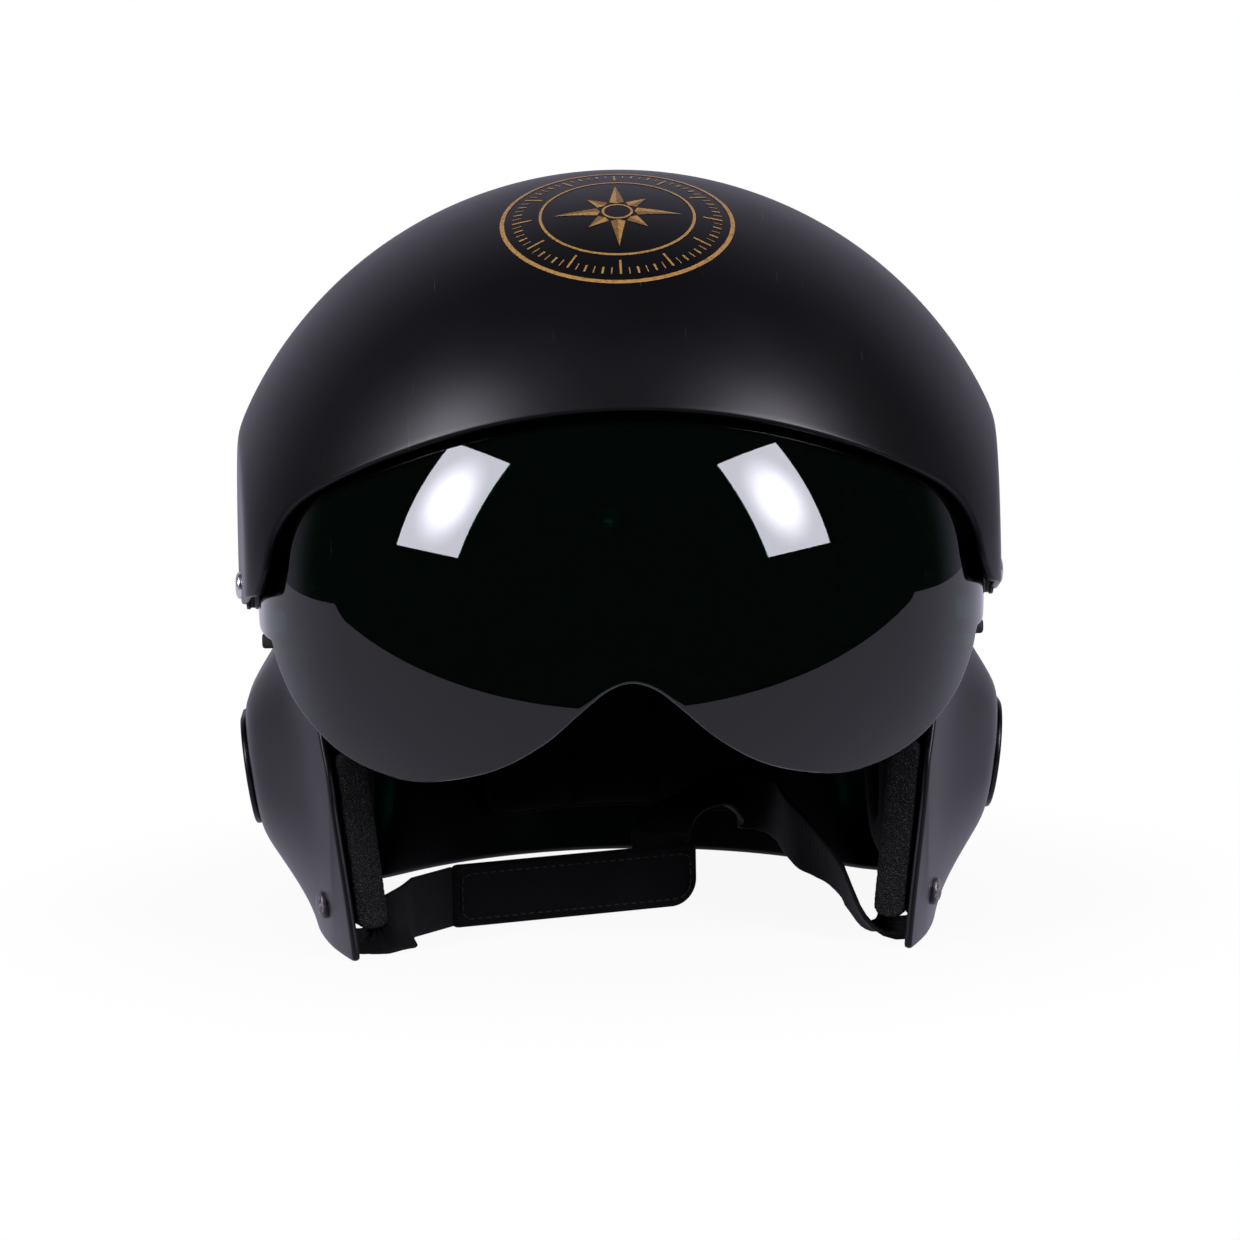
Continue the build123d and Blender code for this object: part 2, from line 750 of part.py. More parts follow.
# Foam blocks between the crown and the cover
block_outside = barrel(shell_wall + soft_gap)
block_inside = head_form(-soft_gap)
with BuildPart() as cover_foam_blocks:
    with BuildSketch(Plane.XY.offset(pivot_height)):
        with Locations((-foam_side_x, foam_block_y), (0, foam_block_y), (foam_side_x, foam_block_y)):
            Rectangle(foam_block_width, foam_block_length)
    extrude(amount=helmet_length)
    add(block_outside, mode=Mode.INTERSECT)
    add(block_inside, mode=Mode.SUBTRACT)
save(cover_foam_blocks.part, "cover_foam_blocks")

# Ear caps: oval plates on the leaning faces of the ear bulges
for side, name in zip(sides, ("right_ear_cap", "left_ear_cap")):
    with BuildPart() as ear_cap:
        with BuildSketch(bulge_face(side, 0)):
            with Locations((bulge_face_y, -side * cap_drop)):
                SlotOverall(cap_length, cap_height)
        extrude(amount=cap_thickness)
        with BuildSketch(bulge_face(side, cap_thickness)):
            with Locations((bulge_face_y, -side * cap_drop)):
                SlotOverall(cap_length - 2 * cap_rim, cap_height - 2 * cap_rim)
        extrude(amount=-cap_recess, mode=Mode.SUBTRACT)
    save(ear_cap.part, name)

# Crest: a thin round film on the front of the dome
film_outside = barrel(-decal_thickness)
crest_plane = Plane(
    origin=(0, cover_peak_y, cover_axis_height + cover_peak_radius - cover_front_radius),
    x_dir=(1, 0, 0),
    z_dir=(0, -sin(radians(decal_tilt)), cos(radians(decal_tilt))),
)
with BuildPart() as crest_decal:
    with BuildSketch(crest_plane):
        Circle(decal_radius)
    extrude(amount=cover_front_radius + overrun)
    add(film_outside, mode=Mode.INTERSECT)
    add(cover_outside, mode=Mode.SUBTRACT)
save(crest_decal.part, "crest_decal")

# Chin strap rivets: head outside, then shell, webbing and washer
with BuildPart() as strap_rivets:
    for side in sides:
        with BuildSketch(rivet_plane(side, rivet_boss_proud)):
            with Locations((rivet_height, 0)):
                Circle(rivet_head_radius)
        extrude(amount=rivet_head_height)
        fillet(faces().sort_by(Axis.X, reverse=side > 0)[0].edges(), rivet_head_edge)
        with BuildSketch(rivet_plane(side, rivet_boss_proud)):
            with Locations((rivet_height, 0)):
                Circle(rivet_shank_radius)
        extrude(amount=-rivet_boss_proud - rivet_end)
save(strap_rivets.part, "strap_rivets")

with BuildPart() as rivet_washers:
    for side in sides:
        with BuildSketch(rivet_plane(side, -strap_inner)):
            with Locations((rivet_height, 0)):
                Circle(rivet_washer_radius)
                Circle(rivet_shank_radius, mode=Mode.SUBTRACT)
        extrude(amount=-rivet_washer_thickness)
save(rivet_washers.part, "rivet_washers")

# Chin band: a padded band that lies between the two straps
band_plane = Plane(
    origin=(band_start_x, band_start_y, band_middle),
    x_dir=(cos(radians(band_turn)), sin(radians(band_turn)), 0),
    z_dir=(sin(radians(band_turn)), -cos(radians(band_turn)), 0),
)
with BuildPart() as chin_band:
    with BuildSketch(band_plane) as band_face:
        with Locations((band_length / 2, 0)):
            Rectangle(band_length, band_height)
        low_corner = band_face.vertices().sort_by_distance((band_length, -band_height))[0]
        fillet(low_corner, band_corner)
    extrude(amount=band_thickness / 2, both=True)
    for end in (0, -1):
        broad_face = faces().sort_by(Axis((0, 0, 0), band_plane.z_dir))[end]
        fillet(broad_face.outer_wire().edges(), band_edge)
save(chin_band.part, "chin_band")

# Webbing: a flat end under each rivet, then loose down to the rim and across to the band
band_back = band_plane.offset(-band_thickness / 2 - webbing_thickness / 2)
tab_heights = (band_height / 2, -band_height / 2 + band_edge)
band_ends = (
    [Plane(origin=band_plane.origin, x_dir=(0, 0, 1), z_dir=band_plane.x_dir)],
    [
        Plane(
            origin=band_back.from_local_coords((band_tab_length, height, 0)),
            x_dir=-band_plane.x_dir,
            z_dir=(0, 0, -1),
        )
        for height in tab_heights
    ],
)
routes = (right_webbing_route, left_webbing_route)
for side, name, route, ends in zip(sides, ("right_chin_strap", "left_chin_strap"), routes, band_ends):
    rivet_face = rivet_plane(side, -rivet_inner - webbing_thickness / 2)
    rivet_ends = [
        Plane(
            origin=rivet_face.from_local_coords((height, 0, 0)),
            x_dir=rivet_face.y_dir * -side,
            z_dir=(0, 0, -1),
        )
        for height in (webbing_end_height, webbing_bend_height)
    ]
    strap_form = webbing(rivet_ends, route, ends)
    with BuildPart() as chin_strap:
        add(strap_form)
        with BuildSketch(rivet_plane(side, 0)):
            with Locations((rivet_height, 0)):
                Circle(rivet_shank_radius)
        extrude(amount=-rivet_end, mode=Mode.SUBTRACT)
    save(chin_strap.part, name)

# Comfort pads on the midline, all cut from one layer inside the shell
pivot_side_plane = Plane(origin=(0, pivot_y, pivot_height), x_dir=(0, 1, 0), z_dir=(1, 0, 0))
midline_angles = (brow_pad_angles, crown_pad_angles, rear_pad_angles)
for name, angles in zip(("brow_pad", "crown_pad", "rear_pad"), midline_angles):
    rays = [(-helmet_length * cos(radians(a)), helmet_length * sin(radians(a))) for a in angles]
    with BuildPart() as midline_pad:
        with BuildSketch(pivot_side_plane):
            with BuildLine():
                Polyline((0, 0), *rays, close=True)
            make_face()
        extrude(amount=pad_half_width, both=True)
        add(pad_outside, mode=Mode.INTERSECT)
        add(pad_inside, mode=Mode.SUBTRACT)
    save(midline_pad.part, name)

with BuildPart() as nape_pad:
    with BuildSketch(Plane.YZ):
        with Locations((nape_pad_front_y + helmet_length / 2, (nape_pad_low + nape_pad_high) / 2)):
            Rectangle(helmet_length, nape_pad_high - nape_pad_low)
    extrude(amount=pad_half_width, both=True)
    add(pad_outside, mode=Mode.INTERSECT)
    add(pad_inside, mode=Mode.SUBTRACT)
save(nape_pad.part, "nape_pad")

# Temple pads above the pivots
temple_pad_inside = head_form(shell_wall + soft_gap + temple_pad_thickness)
for side, name in zip(sides, ("right_temple_pad", "left_temple_pad")):
    with BuildPart() as temple_pad:
        with BuildSketch(side_plane(side, 0)):
            with Locations((temple_pad_y, side * temple_pad_middle)):
                RectangleRounded(temple_pad_length, temple_pad_height, temple_pad_corner)
        extrude(amount=helmet_length)
        add(pad_outside, mode=Mode.INTERSECT)
        add(temple_pad_inside, mode=Mode.SUBTRACT)
    save(temple_pad.part, name)

# Ear pads: rings around the ears, reaching out into the hollow bulges
pad_bulges = [bulge(side, shell_wall + soft_gap) for side in sides]
with BuildPart() as pad_room:
    add(pad_outside)
    add(pad_bulges)
for side, name in zip(sides, ("right_ear_pad", "left_ear_pad")):
    with BuildPart() as ear_pad:
        with BuildSketch(side_plane(side, ear_pad_inner_half_width)):
            with Locations((ear_pad_y, side * ear_pad_middle)):
                RectangleRounded(ear_pad_length, ear_pad_height, ear_pad_corner)
                RectangleRounded(ear_hole_length, ear_hole_height, ear_hole_corner, mode=Mode.SUBTRACT)
        extrude(amount=ear_pad_depth)
        add(pad_room.part, mode=Mode.INTERSECT)
    save(ear_pad.part, name)

# Cheek pads: foam strips inside the front edges, with a pocket for the webbing end
cheek_pad_inside = head_form(shell_wall + soft_gap + cheek_pad_thickness)
cheek_front_y = cheek_top_y + cheek_pad_front_gap
cheek_rise_share = (cheek_top_height - cheek_pad_low) / cheek_top_height
cheek_low_y = cheek_front_y + cheek_rise_share * (cheek_tip_y - cheek_top_y)
for side, name in zip(sides, ("right_cheek_pad", "left_cheek_pad")):
    with BuildPart() as cheek_pad:
        with BuildSketch(side_plane(side, 0)):
            with BuildLine():
                Polyline(
                    (cheek_low_y, side * cheek_pad_low),
                    (cheek_front_y, side * cheek_top_height),
                    (cheek_front_y, side * cheek_pad_high),
                    (cheek_pad_back_y, side * cheek_pad_high),
                    (cheek_pad_back_y, side * cheek_pad_low),
                    close=True,
                )
            make_face()
        extrude(amount=helmet_length)
        add(pad_outside, mode=Mode.INTERSECT)
        add(cheek_pad_inside, mode=Mode.SUBTRACT)
        with BuildSketch(rivet_plane(side, 0)):
            Rectangle(2 * cheek_pocket_high, cheek_pocket_width)
        extrude(amount=-shell_wall - cheek_pocket_depth, mode=Mode.SUBTRACT)
    save(cheek_pad.part, name)
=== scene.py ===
from math import atan2, cos, pi, radians, sin, sqrt

import bmesh
import bpy
import numpy as np
from mathutils import Matrix, Vector


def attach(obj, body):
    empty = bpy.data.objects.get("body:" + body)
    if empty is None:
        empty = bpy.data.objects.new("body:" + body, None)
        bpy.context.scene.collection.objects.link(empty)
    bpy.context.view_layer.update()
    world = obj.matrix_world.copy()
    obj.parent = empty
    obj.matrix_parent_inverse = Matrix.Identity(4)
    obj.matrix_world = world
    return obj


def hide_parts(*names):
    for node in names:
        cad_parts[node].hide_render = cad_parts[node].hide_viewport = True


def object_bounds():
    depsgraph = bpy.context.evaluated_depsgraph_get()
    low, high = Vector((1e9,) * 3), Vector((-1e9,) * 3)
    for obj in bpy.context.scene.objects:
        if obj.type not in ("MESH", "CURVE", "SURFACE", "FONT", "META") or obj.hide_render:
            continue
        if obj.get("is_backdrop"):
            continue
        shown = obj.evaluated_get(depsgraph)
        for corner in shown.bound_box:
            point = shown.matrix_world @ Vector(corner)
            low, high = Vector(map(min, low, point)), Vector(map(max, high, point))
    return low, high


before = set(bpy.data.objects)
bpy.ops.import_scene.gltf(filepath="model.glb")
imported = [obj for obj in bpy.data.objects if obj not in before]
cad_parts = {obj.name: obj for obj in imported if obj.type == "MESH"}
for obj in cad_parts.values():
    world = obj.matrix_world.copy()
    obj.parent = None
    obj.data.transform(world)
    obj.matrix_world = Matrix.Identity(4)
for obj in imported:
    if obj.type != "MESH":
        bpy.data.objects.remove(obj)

cad_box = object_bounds()
mm = 0.001
right, left = -1, 1
sides = {"right": right, "left": left}

# Camera
# The helmet is seen from 1.6 m in front and 8 degrees above, a little from its own left,
# through a long lens that keeps its proportions, with the horizon one degree out of level.
camera_distance = 1600 * mm
camera_azimuth = -1.6
camera_elevation = 8
camera_roll = radians(1)
camera_focal_length = 139.35
camera_sensor_width = 36
camera_target = Vector((0, -8 * mm, 97.5 * mm))


def way_from(azimuth, elevation):
    """The way to a place given in degrees to the left of the front and above the table."""
    turn, rise = radians(azimuth), radians(elevation)
    return Vector((sin(turn) * cos(rise), -cos(turn) * cos(rise), sin(rise)))


camera_back = way_from(camera_azimuth, camera_elevation)
level_right = (-camera_back).cross(Vector((0, 0, 1))).normalized()
level_up = level_right.cross(-camera_back)
camera_right = cos(camera_roll) * level_right - sin(camera_roll) * level_up
camera_up = sin(camera_roll) * level_right + cos(camera_roll) * level_up
camera_lens = bpy.data.cameras.new("studio_camera")
camera_lens.lens = camera_focal_length
camera_lens.sensor_width = camera_sensor_width
camera = bpy.data.objects.new("studio_camera", camera_lens)
bpy.context.scene.collection.objects.link(camera)
camera_turn = Matrix((camera_right, camera_up, camera_back)).transposed()
camera.matrix_world = Matrix.Translation(camera_target + camera_distance * camera_back) @ camera_turn.to_4x4()
bpy.context.scene.camera = camera
bpy.context.scene.view_settings.view_transform = "Standard"

# Studio
# A white table whose front edge is a quarter of a metre before the middle of the helmet, with a
# dark room in front of it, a white wall behind it and one tall softbox at each side.
table_front = -250 * mm
table_half_width = 1600 * mm
table_depth = 2400 * mm
table_white = (0.5, 0.5, 0.5, 1)
table_mirror = 0.66
fade_start = 80 * mm
fade_end = 260 * mm
least_fade = 0.93
room_glow = 0.02
wall_glow = 0.45
wall_edges = (0.15, 0.75)
wall_tint = (0.94, 0.9, 1.12)
white = (1, 1, 1)
box_distance = 1500 * mm
box_width = 510 * mm
box_height = 850 * mm
box_roll = radians(6)
box_power = 20
box_aim = Vector((0, -100 * mm, 150 * mm))
box_turns = {"right": (-53.5, 28.0), "left": (47.5, 26.8)}
bulb_place = (0.5, 0.5, 0)
bulb_reach = 0.5
bulb_strength = 2.4
cloth_strength = 0.95
lamp_tint = (0.97, 0.94, 1.07)


def feed(tree, made, inputs):
    """Give a node's inputs their values, or links from other nodes."""
    for name, value in inputs.items():
        if isinstance(value, bpy.types.NodeSocket):
            tree.links.new(value, made.inputs[name])
        else:
            made.inputs[name].default_value = value


def add_node(tree, kind, inputs=None, **settings):
    """A new shader node with its settings and inputs."""
    made = tree.nodes.new(f"ShaderNode{kind}")
    for name, value in settings.items():
        setattr(made, name, value)
    feed(tree, made, inputs or {})
    return made


def join_values(tree, operation, one, other):
    """Two values joined into one."""
    return add_node(tree, "Math", {0: one, 1: other}, operation=operation).outputs[0]


def mix_shaders(tree, share, one, other):
    """A share of one shader over the other."""
    return add_node(tree, "MixShader", {"Fac": share, 1: one.outputs[0], 2: other.outputs[0]})


def between(tree, value, low, high, from_low=0.3, from_high=0.7, **settings):
    """A value spread over a range, and held at its ends."""
    ends = {"From Min": from_low, "From Max": from_high, "To Min": low, "To Max": high}
    return add_node(tree, "MapRange", {"Value": value, **ends}, **settings).outputs["Result"]


def blend_colours(tree, value, one, other):
    """A colour between two, by a value."""
    colours = {"Factor": value, "A": (*one, 1), "B": (*other, 1)}
    return add_node(tree, "Mix", colours, data_type="RGBA").outputs["Result"]


def kinds_of_ray(tree):
    """Two values: 1 for rays that reach the lens straight or through the visor, and 1 for mirrored ones."""
    path = add_node(tree, "LightPath").outputs
    return (
        join_values(tree, "MAXIMUM", path["Is Camera Ray"], path["Is Transmission Ray"]),
        path["Is Glossy Ray"],
    )


table_mesh = bpy.data.meshes.new("white_table")
table_corners = [
    (side * table_half_width, table_front + depth, 0) for depth in (0, table_depth) for side in (right, left)
]
table_mesh.from_pydata(table_corners, [], [(0, 1, 3, 2)])
white_table = bpy.data.objects.new("white_table", table_mesh)
bpy.context.scene.collection.objects.link(white_table)
white_table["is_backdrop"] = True

table_finish = bpy.data.materials.new("white_table")
table_finish.use_nodes = True
table_mesh.materials.append(table_finish)
tree = table_finish.node_tree
paper = tree.nodes["Principled BSDF"]
feed(tree, paper, {"Base Color": table_white, "Roughness": 0.9, "Specular IOR Level": 0})
seen, mirrored = kinds_of_ray(tree)
place = add_node(tree, "TexCoord").outputs["Object"]
reach = add_node(tree, "VectorMath", {0: place}, operation="LENGTH").outputs["Value"]
fade = between(tree, reach, least_fade, 1, fade_start, fade_end, interpolation_type="SMOOTHSTEP")
backdrop = add_node(tree, "Emission", {
    "Color": blend_colours(tree, mirrored, white, wall_tint),
    "Strength": between(tree, mirrored, 1, table_mirror, 0, 1),
})
backdrop_share = join_values(tree, "MAXIMUM", join_values(tree, "MULTIPLY", seen, fade), mirrored)
surface = mix_shaders(tree, backdrop_share, paper, backdrop)
feed(tree, tree.nodes["Material Output"], {"Surface": surface.outputs[0]})

room = bpy.data.worlds.new("studio_room")
room.use_nodes = True
bpy.context.scene.world = room
tree = room.node_tree
dark = tree.nodes["Background"]
feed(tree, dark, {"Color": (*white, 1), "Strength": room_glow})
bright = add_node(tree, "Background", {"Color": (*white, 1)})
wall = add_node(tree, "Background", {"Color": (*wall_tint, 1), "Strength": wall_glow})
seen, mirrored = kinds_of_ray(tree)
place = add_node(tree, "TexCoord").outputs["Generated"]
depth = add_node(tree, "SeparateXYZ", {0: place}).outputs["Y"]
behind = between(tree, depth, 0, 1, *wall_edges, interpolation_type="SMOOTHSTEP")
with_wall = mix_shaders(tree, join_values(tree, "MULTIPLY", behind, mirrored), dark, wall)
with_lens = mix_shaders(tree, seen, with_wall, bright)
feed(tree, tree.nodes["World Output"], {"Surface": with_lens.outputs[0]})

for side, turns in box_turns.items():
    lamp = bpy.data.lights.new(f"{side}_softbox", "AREA")
    lamp.shape = "RECTANGLE"
    lamp.size = box_width
    lamp.size_y = box_height
    lamp.energy = box_power
    lamp.color = lamp_tint
    lamp.use_nodes = True
    tree = lamp.node_tree
    place = add_node(tree, "NewGeometry").outputs["Parametric"]
    from_bulb = add_node(tree, "VectorMath", {0: place, 1: bulb_place}, operation="DISTANCE").outputs["Value"]
    glow = between(
        tree, from_bulb, bulb_strength, cloth_strength, 0, bulb_reach, interpolation_type="SMOOTHSTEP"
    )
    feed(tree, tree.nodes["Emission"], {"Strength": glow})
    softbox = bpy.data.objects.new(f"{side}_softbox", lamp)
    bpy.context.scene.collection.objects.link(softbox)
    way = way_from(*turns)
    roll = Matrix.Rotation(sides[side] * box_roll, 4, way)
    aim = way.to_track_quat("Z", "Y").to_matrix().to_4x4()
    softbox.matrix_world = Matrix.Translation(box_aim + box_distance * way) @ roll @ aim

# Visor cover
# The outer dome is one thick moulding in satin black plastic, a barrel with nearly flat flanks.
# It is open at the brow and held by a screw at each temple and one at the back.
cover_axis_height = 111 * mm
cover_peak_radius = 136 * mm
cover_peak_y = -8 * mm
cover_front_radius = 122 * mm
cover_rear_y = 132.5 * mm
cover_back_radius = (cover_peak_radius**2 + (cover_rear_y - cover_peak_y) ** 2) / (2 * cover_peak_radius)
flank_half_width = 125.3 * mm
flank_tilt = radians(4)
flank_crease = 1.6 * mm
pivot = np.array((0, -17 * mm, 113 * mm))
pivot_hem_height = 106.5 * mm
front_hem_height = 117 * mm
hem_corner_y = -74 * mm
brow_height = 178.4 * mm
brow_side = (98.5 * mm, 151.5 * mm)
temple_end = (114.4 * mm, 126 * mm)
hem_corner = (117.5 * mm, 117 * mm)
shell_wall = 2.5 * mm
cover_centre = np.array((0, -8 * mm, 108 * mm))
cover_pole = (0, 0.3, 1)
front_start_y = -40 * mm


def rows(*parts):
    """Points from their coordinates, where one value can serve them all."""
    return np.stack(np.broadcast_arrays(*parts), axis=-1)


def smooth_max(one, other, width):
    """The larger of two values, with a rounded change-over."""
    return 0.5 * (one + other + np.sqrt((one - other) ** 2 + width**2))


def cover_form(points):
    """How far points lie outside the visor cover."""
    x, y, z = np.moveaxis(points, -1, 0)
    fore = y - cover_peak_y
    out = np.hypot(x, z - cover_axis_height)
    front = np.hypot(fore, out - cover_peak_radius + cover_front_radius) - cover_front_radius
    back = np.hypot(fore, out - cover_peak_radius + cover_back_radius) - cover_back_radius
    flank = (np.abs(x) - flank_half_width) * cos(flank_tilt) - (y - pivot[1]) * sin(flank_tilt)
    return smooth_max(np.where(fore < 0, front, back), flank, flank_crease)


def leave(form, starts, ways, reach=220 * mm):
    """The places where lines from inside a form come out of it."""
    starts, ways = np.broadcast_arrays(np.asarray(starts, float), np.asarray(ways, float))
    low = np.zeros(ways.shape[:-1])
    high = np.full(ways.shape[:-1], reach)
    for halving in range(36):
        middle = (low + high) / 2
        inside = form(starts + ways * middle[..., None]) < 0
        low = np.where(inside, middle, low)
        high = np.where(inside, high, middle)
    return starts + ways * high[..., None]


def unit(vectors):
    """Vectors of the same directions and length 1."""
    vectors = np.asarray(vectors, float)
    return vectors / np.linalg.norm(vectors, axis=-1, keepdims=True)


def facing(form, points):
    """The outward directions of a form's surface."""
    step = 0.02 * mm
    slopes = [form(points + step * axis) - form(points - step * axis) for axis in np.eye(3)]
    return unit(np.stack(slopes, axis=-1))


def even(points, count, closed=False):
    """Points spaced evenly along a line or a loop."""
    points = np.asarray(points, float)
    if closed:
        points = np.vstack((points, points[:1]))
    run = np.concatenate(((0,), np.cumsum(np.linalg.norm(np.diff(points, axis=0), axis=1))))
    stops = np.linspace(0, run[-1], count, endpoint=not closed)
    return rows(*(np.interp(stops, run, column) for column in points.T))


def both_halves(half):
    """A loop from the half of it on the helmet's left, with the same half mirrored."""
    return np.vstack((half, half[-2:0:-1] * (-1, 1, 1)))


def softened(loop, spread):
    """A loop with its corners rounded, by averaging over a few neighbours."""
    shares = np.exp(-0.5 * (np.arange(-3 * spread, 3 * spread + 1) / spread) ** 2)
    return sum(
        share * np.roll(loop, int(shift), axis=0)
        for share, shift in zip(shares / shares.sum(), range(-3 * spread, 3 * spread + 1))
    )


def piece(name, points, faces, materials, body="shell", slot=None, replaces=(), smooth=True):
    """A mesh piece whose faces look outwards, riding on its body."""
    points = np.asarray(points, float)
    if isinstance(faces, np.ndarray):
        first, second, third = (points[faces[:, corner]] for corner in range(3))
        if np.einsum("ij,ij->i", first, np.cross(second, third)).sum() < 0:
            faces = faces[:, ::-1]
        faces = faces.tolist()
    mesh = bpy.data.meshes.new(name)
    mesh.from_pydata(points.tolist(), [], faces)
    mesh.shade_smooth() if smooth else mesh.shade_flat()
    for material in materials:
        mesh.materials.append(material)
    made = bpy.data.objects.new(name, mesh)
    bpy.context.scene.collection.objects.link(made)
    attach(made, body)
    if replaces:
        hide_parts(*replaces)
    return made


def ring_faces(rings, count, wrap=False):
    """Faces between closed rings of points, in order, as quads."""
    ring, place = np.meshgrid(np.arange(rings if wrap else rings - 1), np.arange(count), indexing="ij")
    after = (ring + 1) % rings
    beside = (place + 1) % count
    corners = (ring * count + place, ring * count + beside, after * count + beside, after * count + place)
    return np.stack(corners, axis=-1).reshape(-1, 4)


def closed_piece(name, rings, start, end, materials, **facts):
    """A piece made of rings, closed onto a point at each end."""
    rings = np.asarray(rings)
    count = rings.shape[1]
    points = np.vstack((rings.reshape(-1, 3), [start], [end]))
    quads = ring_faces(len(rings), count)
    place = np.arange(count)
    beside = (place + 1) % count
    last = (len(rings) - 1) * count
    fans = np.vstack((
        rows(len(points) - 2, beside, place),
        rows(len(points) - 1, last + place, last + beside),
    ))
    first, second, third, fourth = (points[quads[:, corner]] for corner in range(4))
    swell = np.einsum("ij,ij->i", first, np.cross(second, third) + np.cross(third, fourth)).sum()
    if swell < 0:
        quads, fans = quads[:, ::-1], fans[:, ::-1]
    return piece(name, points, quads.tolist() + fans.tolist(), materials, **facts)


def moulding(name, form, centre, pole, loop, wall, rings, materials, **facts):
    """A thin moulded shell: its face out to a loop, a rounded edge and its inside.

    The face spreads out from one pole, or from a spine with one point for each of the loop's."""
    pole = unit(pole)
    spine = pole.ndim > 1
    out = facing(form, loop)
    along = np.roll(loop, -1, axis=0) - np.roll(loop, 1, axis=0)
    middle = leave(form, centre, unit(pole.mean(axis=0)) if spine else pole)
    off = unit(np.cross(out, along))
    off = off if np.einsum("ij,ij->i", off, loop - middle).sum() > 0 else -off
    ends = unit(loop - off * wall / 2 - centre)
    spans = np.maximum(np.arccos(np.clip((ends * pole).sum(axis=1), -1, 1)), 0.00001)[:, None]
    shares = (np.arange(0 if spine else 1, rings + 1) / rings) ** 0.9
    ways = np.stack([
        unit((np.sin((1 - share) * spans) * pole + np.sin(share * spans) * ends) / np.sin(spans))
        for share in shares
    ])
    face = leave(form, centre, ways)
    out = facing(form, face)
    inside = face - wall * out
    turns = np.linspace(0, pi, 11)[1:-1]
    edge_middle = face[-1] - out[-1] * wall / 2
    edge = [
        edge_middle
        + wall / 2 * (np.sign(cos(turn)) * abs(cos(turn)) ** 0.8 * out[-1] + sin(turn) ** 0.8 * off)
        for turn in turns
    ]
    all_rings = np.concatenate((face, edge, inside[::-1]))
    if spine:
        made = piece(
            name, all_rings.reshape(-1, 3), ring_faces(len(all_rings), len(loop)), materials, **facts
        )
        whole = bmesh.new()
        whole.from_mesh(made.data)
        bmesh.ops.remove_doubles(whole, verts=whole.verts, dist=0.002 * mm)
        whole.to_mesh(made.data)
        whole.free()
        return made
    return closed_piece(name, all_rings, middle, middle - wall * facing(form, middle), materials, **facts)


def shader(name, colour, roughness, **inputs):
    """A new material, its tree and its main shader."""
    material = bpy.data.materials.new(name)
    material.use_nodes = True
    main = material.node_tree.nodes["Principled BSDF"]
    feed(material.node_tree, main, {"Base Color": (*colour, 1), "Roughness": roughness})
    feed(material.node_tree, main, {key.replace("_", " "): value for key, value in inputs.items()})
    return material, material.node_tree, main


def noise(tree, scale, detail=3, stretch=None):
    """A noise pattern in the piece's own coordinates."""
    place = add_node(tree, "TexCoord").outputs["Object"]
    if stretch:
        place = add_node(tree, "Mapping", {"Vector": place, "Scale": stretch}).outputs["Vector"]
    return add_node(tree, "TexNoise", {"Vector": place, "Scale": scale, "Detail": detail}).outputs["Fac"]


def raise_by(tree, main, value, distance, strength=1.0):
    """Surface relief from a pattern's value, over the relief that is there already."""
    bump = add_node(tree, "Bump", {"Height": value, "Distance": distance, "Strength": strength})
    if main.inputs["Normal"].is_linked:
        feed(tree, bump, {"Normal": main.inputs["Normal"].links[0].from_socket})
    feed(tree, main, {"Normal": bump.outputs["Normal"]})


def satin_plastic():
    """Black moulded plastic with a fine grain, cloudy gloss and a few pale scratches."""
    black, pale = (0.0022, 0.002, 0.0026), (0.02, 0.019, 0.021)
    material, tree, main = shader("satin_black_plastic", black, 0.4, Specular_IOR_Level=0.24)
    scratch = noise(tree, 60, 2, stretch=(14, 0.6, 1.2))
    feed(tree, main, {
        "Roughness": between(tree, noise(tree, 22, 4), 0.3, 0.37),
        "Base Color": blend_colours(tree, between(tree, scratch, 0, 1, 0.73, 0.77), black, pale),
    })
    raise_by(tree, main, noise(tree, 1600, 2), 0.01 * mm)
    raise_by(tree, main, noise(tree, 60, 2), 0.05 * mm, 0.5)
    return material


satin = {"materials": [satin_plastic()], "slot": "shell_black"}

brow_rise = brow_height - brow_side[1]
brow_radius = (brow_side[0] ** 2 + brow_rise**2) / (2 * brow_rise)
brow_sweep = np.linspace(0, atan2(brow_side[0], brow_radius - brow_rise), 120)
brow_arc = rows(
    brow_radius * np.sin(brow_sweep), brow_height - brow_radius + brow_radius * np.cos(brow_sweep)
)
corner_in = np.array((-sin(brow_sweep[-1]), -cos(brow_sweep[-1])))
corner_span = np.array(temple_end) - brow_side
temple_radius = corner_span @ corner_span / (2 * corner_in @ corner_span)
temple_middle = np.array(brow_side) + corner_in * temple_radius
first_turn = atan2(*(np.array(brow_side) - temple_middle)[::-1])
last_turn = atan2(*(np.array(temple_end) - temple_middle)[::-1])
temple_sweep = np.linspace(first_turn, last_turn, 40)[1:]
temple_arc = temple_middle + abs(temple_radius) * rows(np.cos(temple_sweep), np.sin(temple_sweep))
temple_line = np.linspace(temple_end, hem_corner, 12)[1:]
front_view = np.vstack((brow_arc, temple_arc, temple_line))
cover_front_edge = leave(cover_form, rows(front_view[:, 0], front_start_y, front_view[:, 1]), (0, -1, 0))
hem_y = np.linspace(cover_front_edge[-1, 1], pivot[1], 60)[1:]
hem_share = (hem_y - hem_corner_y) / (pivot[1] - hem_corner_y)
hem_z = front_hem_height + hem_share * (pivot_hem_height - front_hem_height)
cover_side_edge = leave(cover_form, rows(0, hem_y, hem_z), (1, 0, 0))
back_turns = np.linspace(0, pi / 2, 200)[1:]
back_ways = rows(np.cos(back_turns), np.sin(back_turns), 0)
cover_back_edge = leave(cover_form, (0, pivot[1], pivot_hem_height), back_ways)
cover_loop = both_halves(np.vstack((cover_front_edge, cover_side_edge, cover_back_edge)))
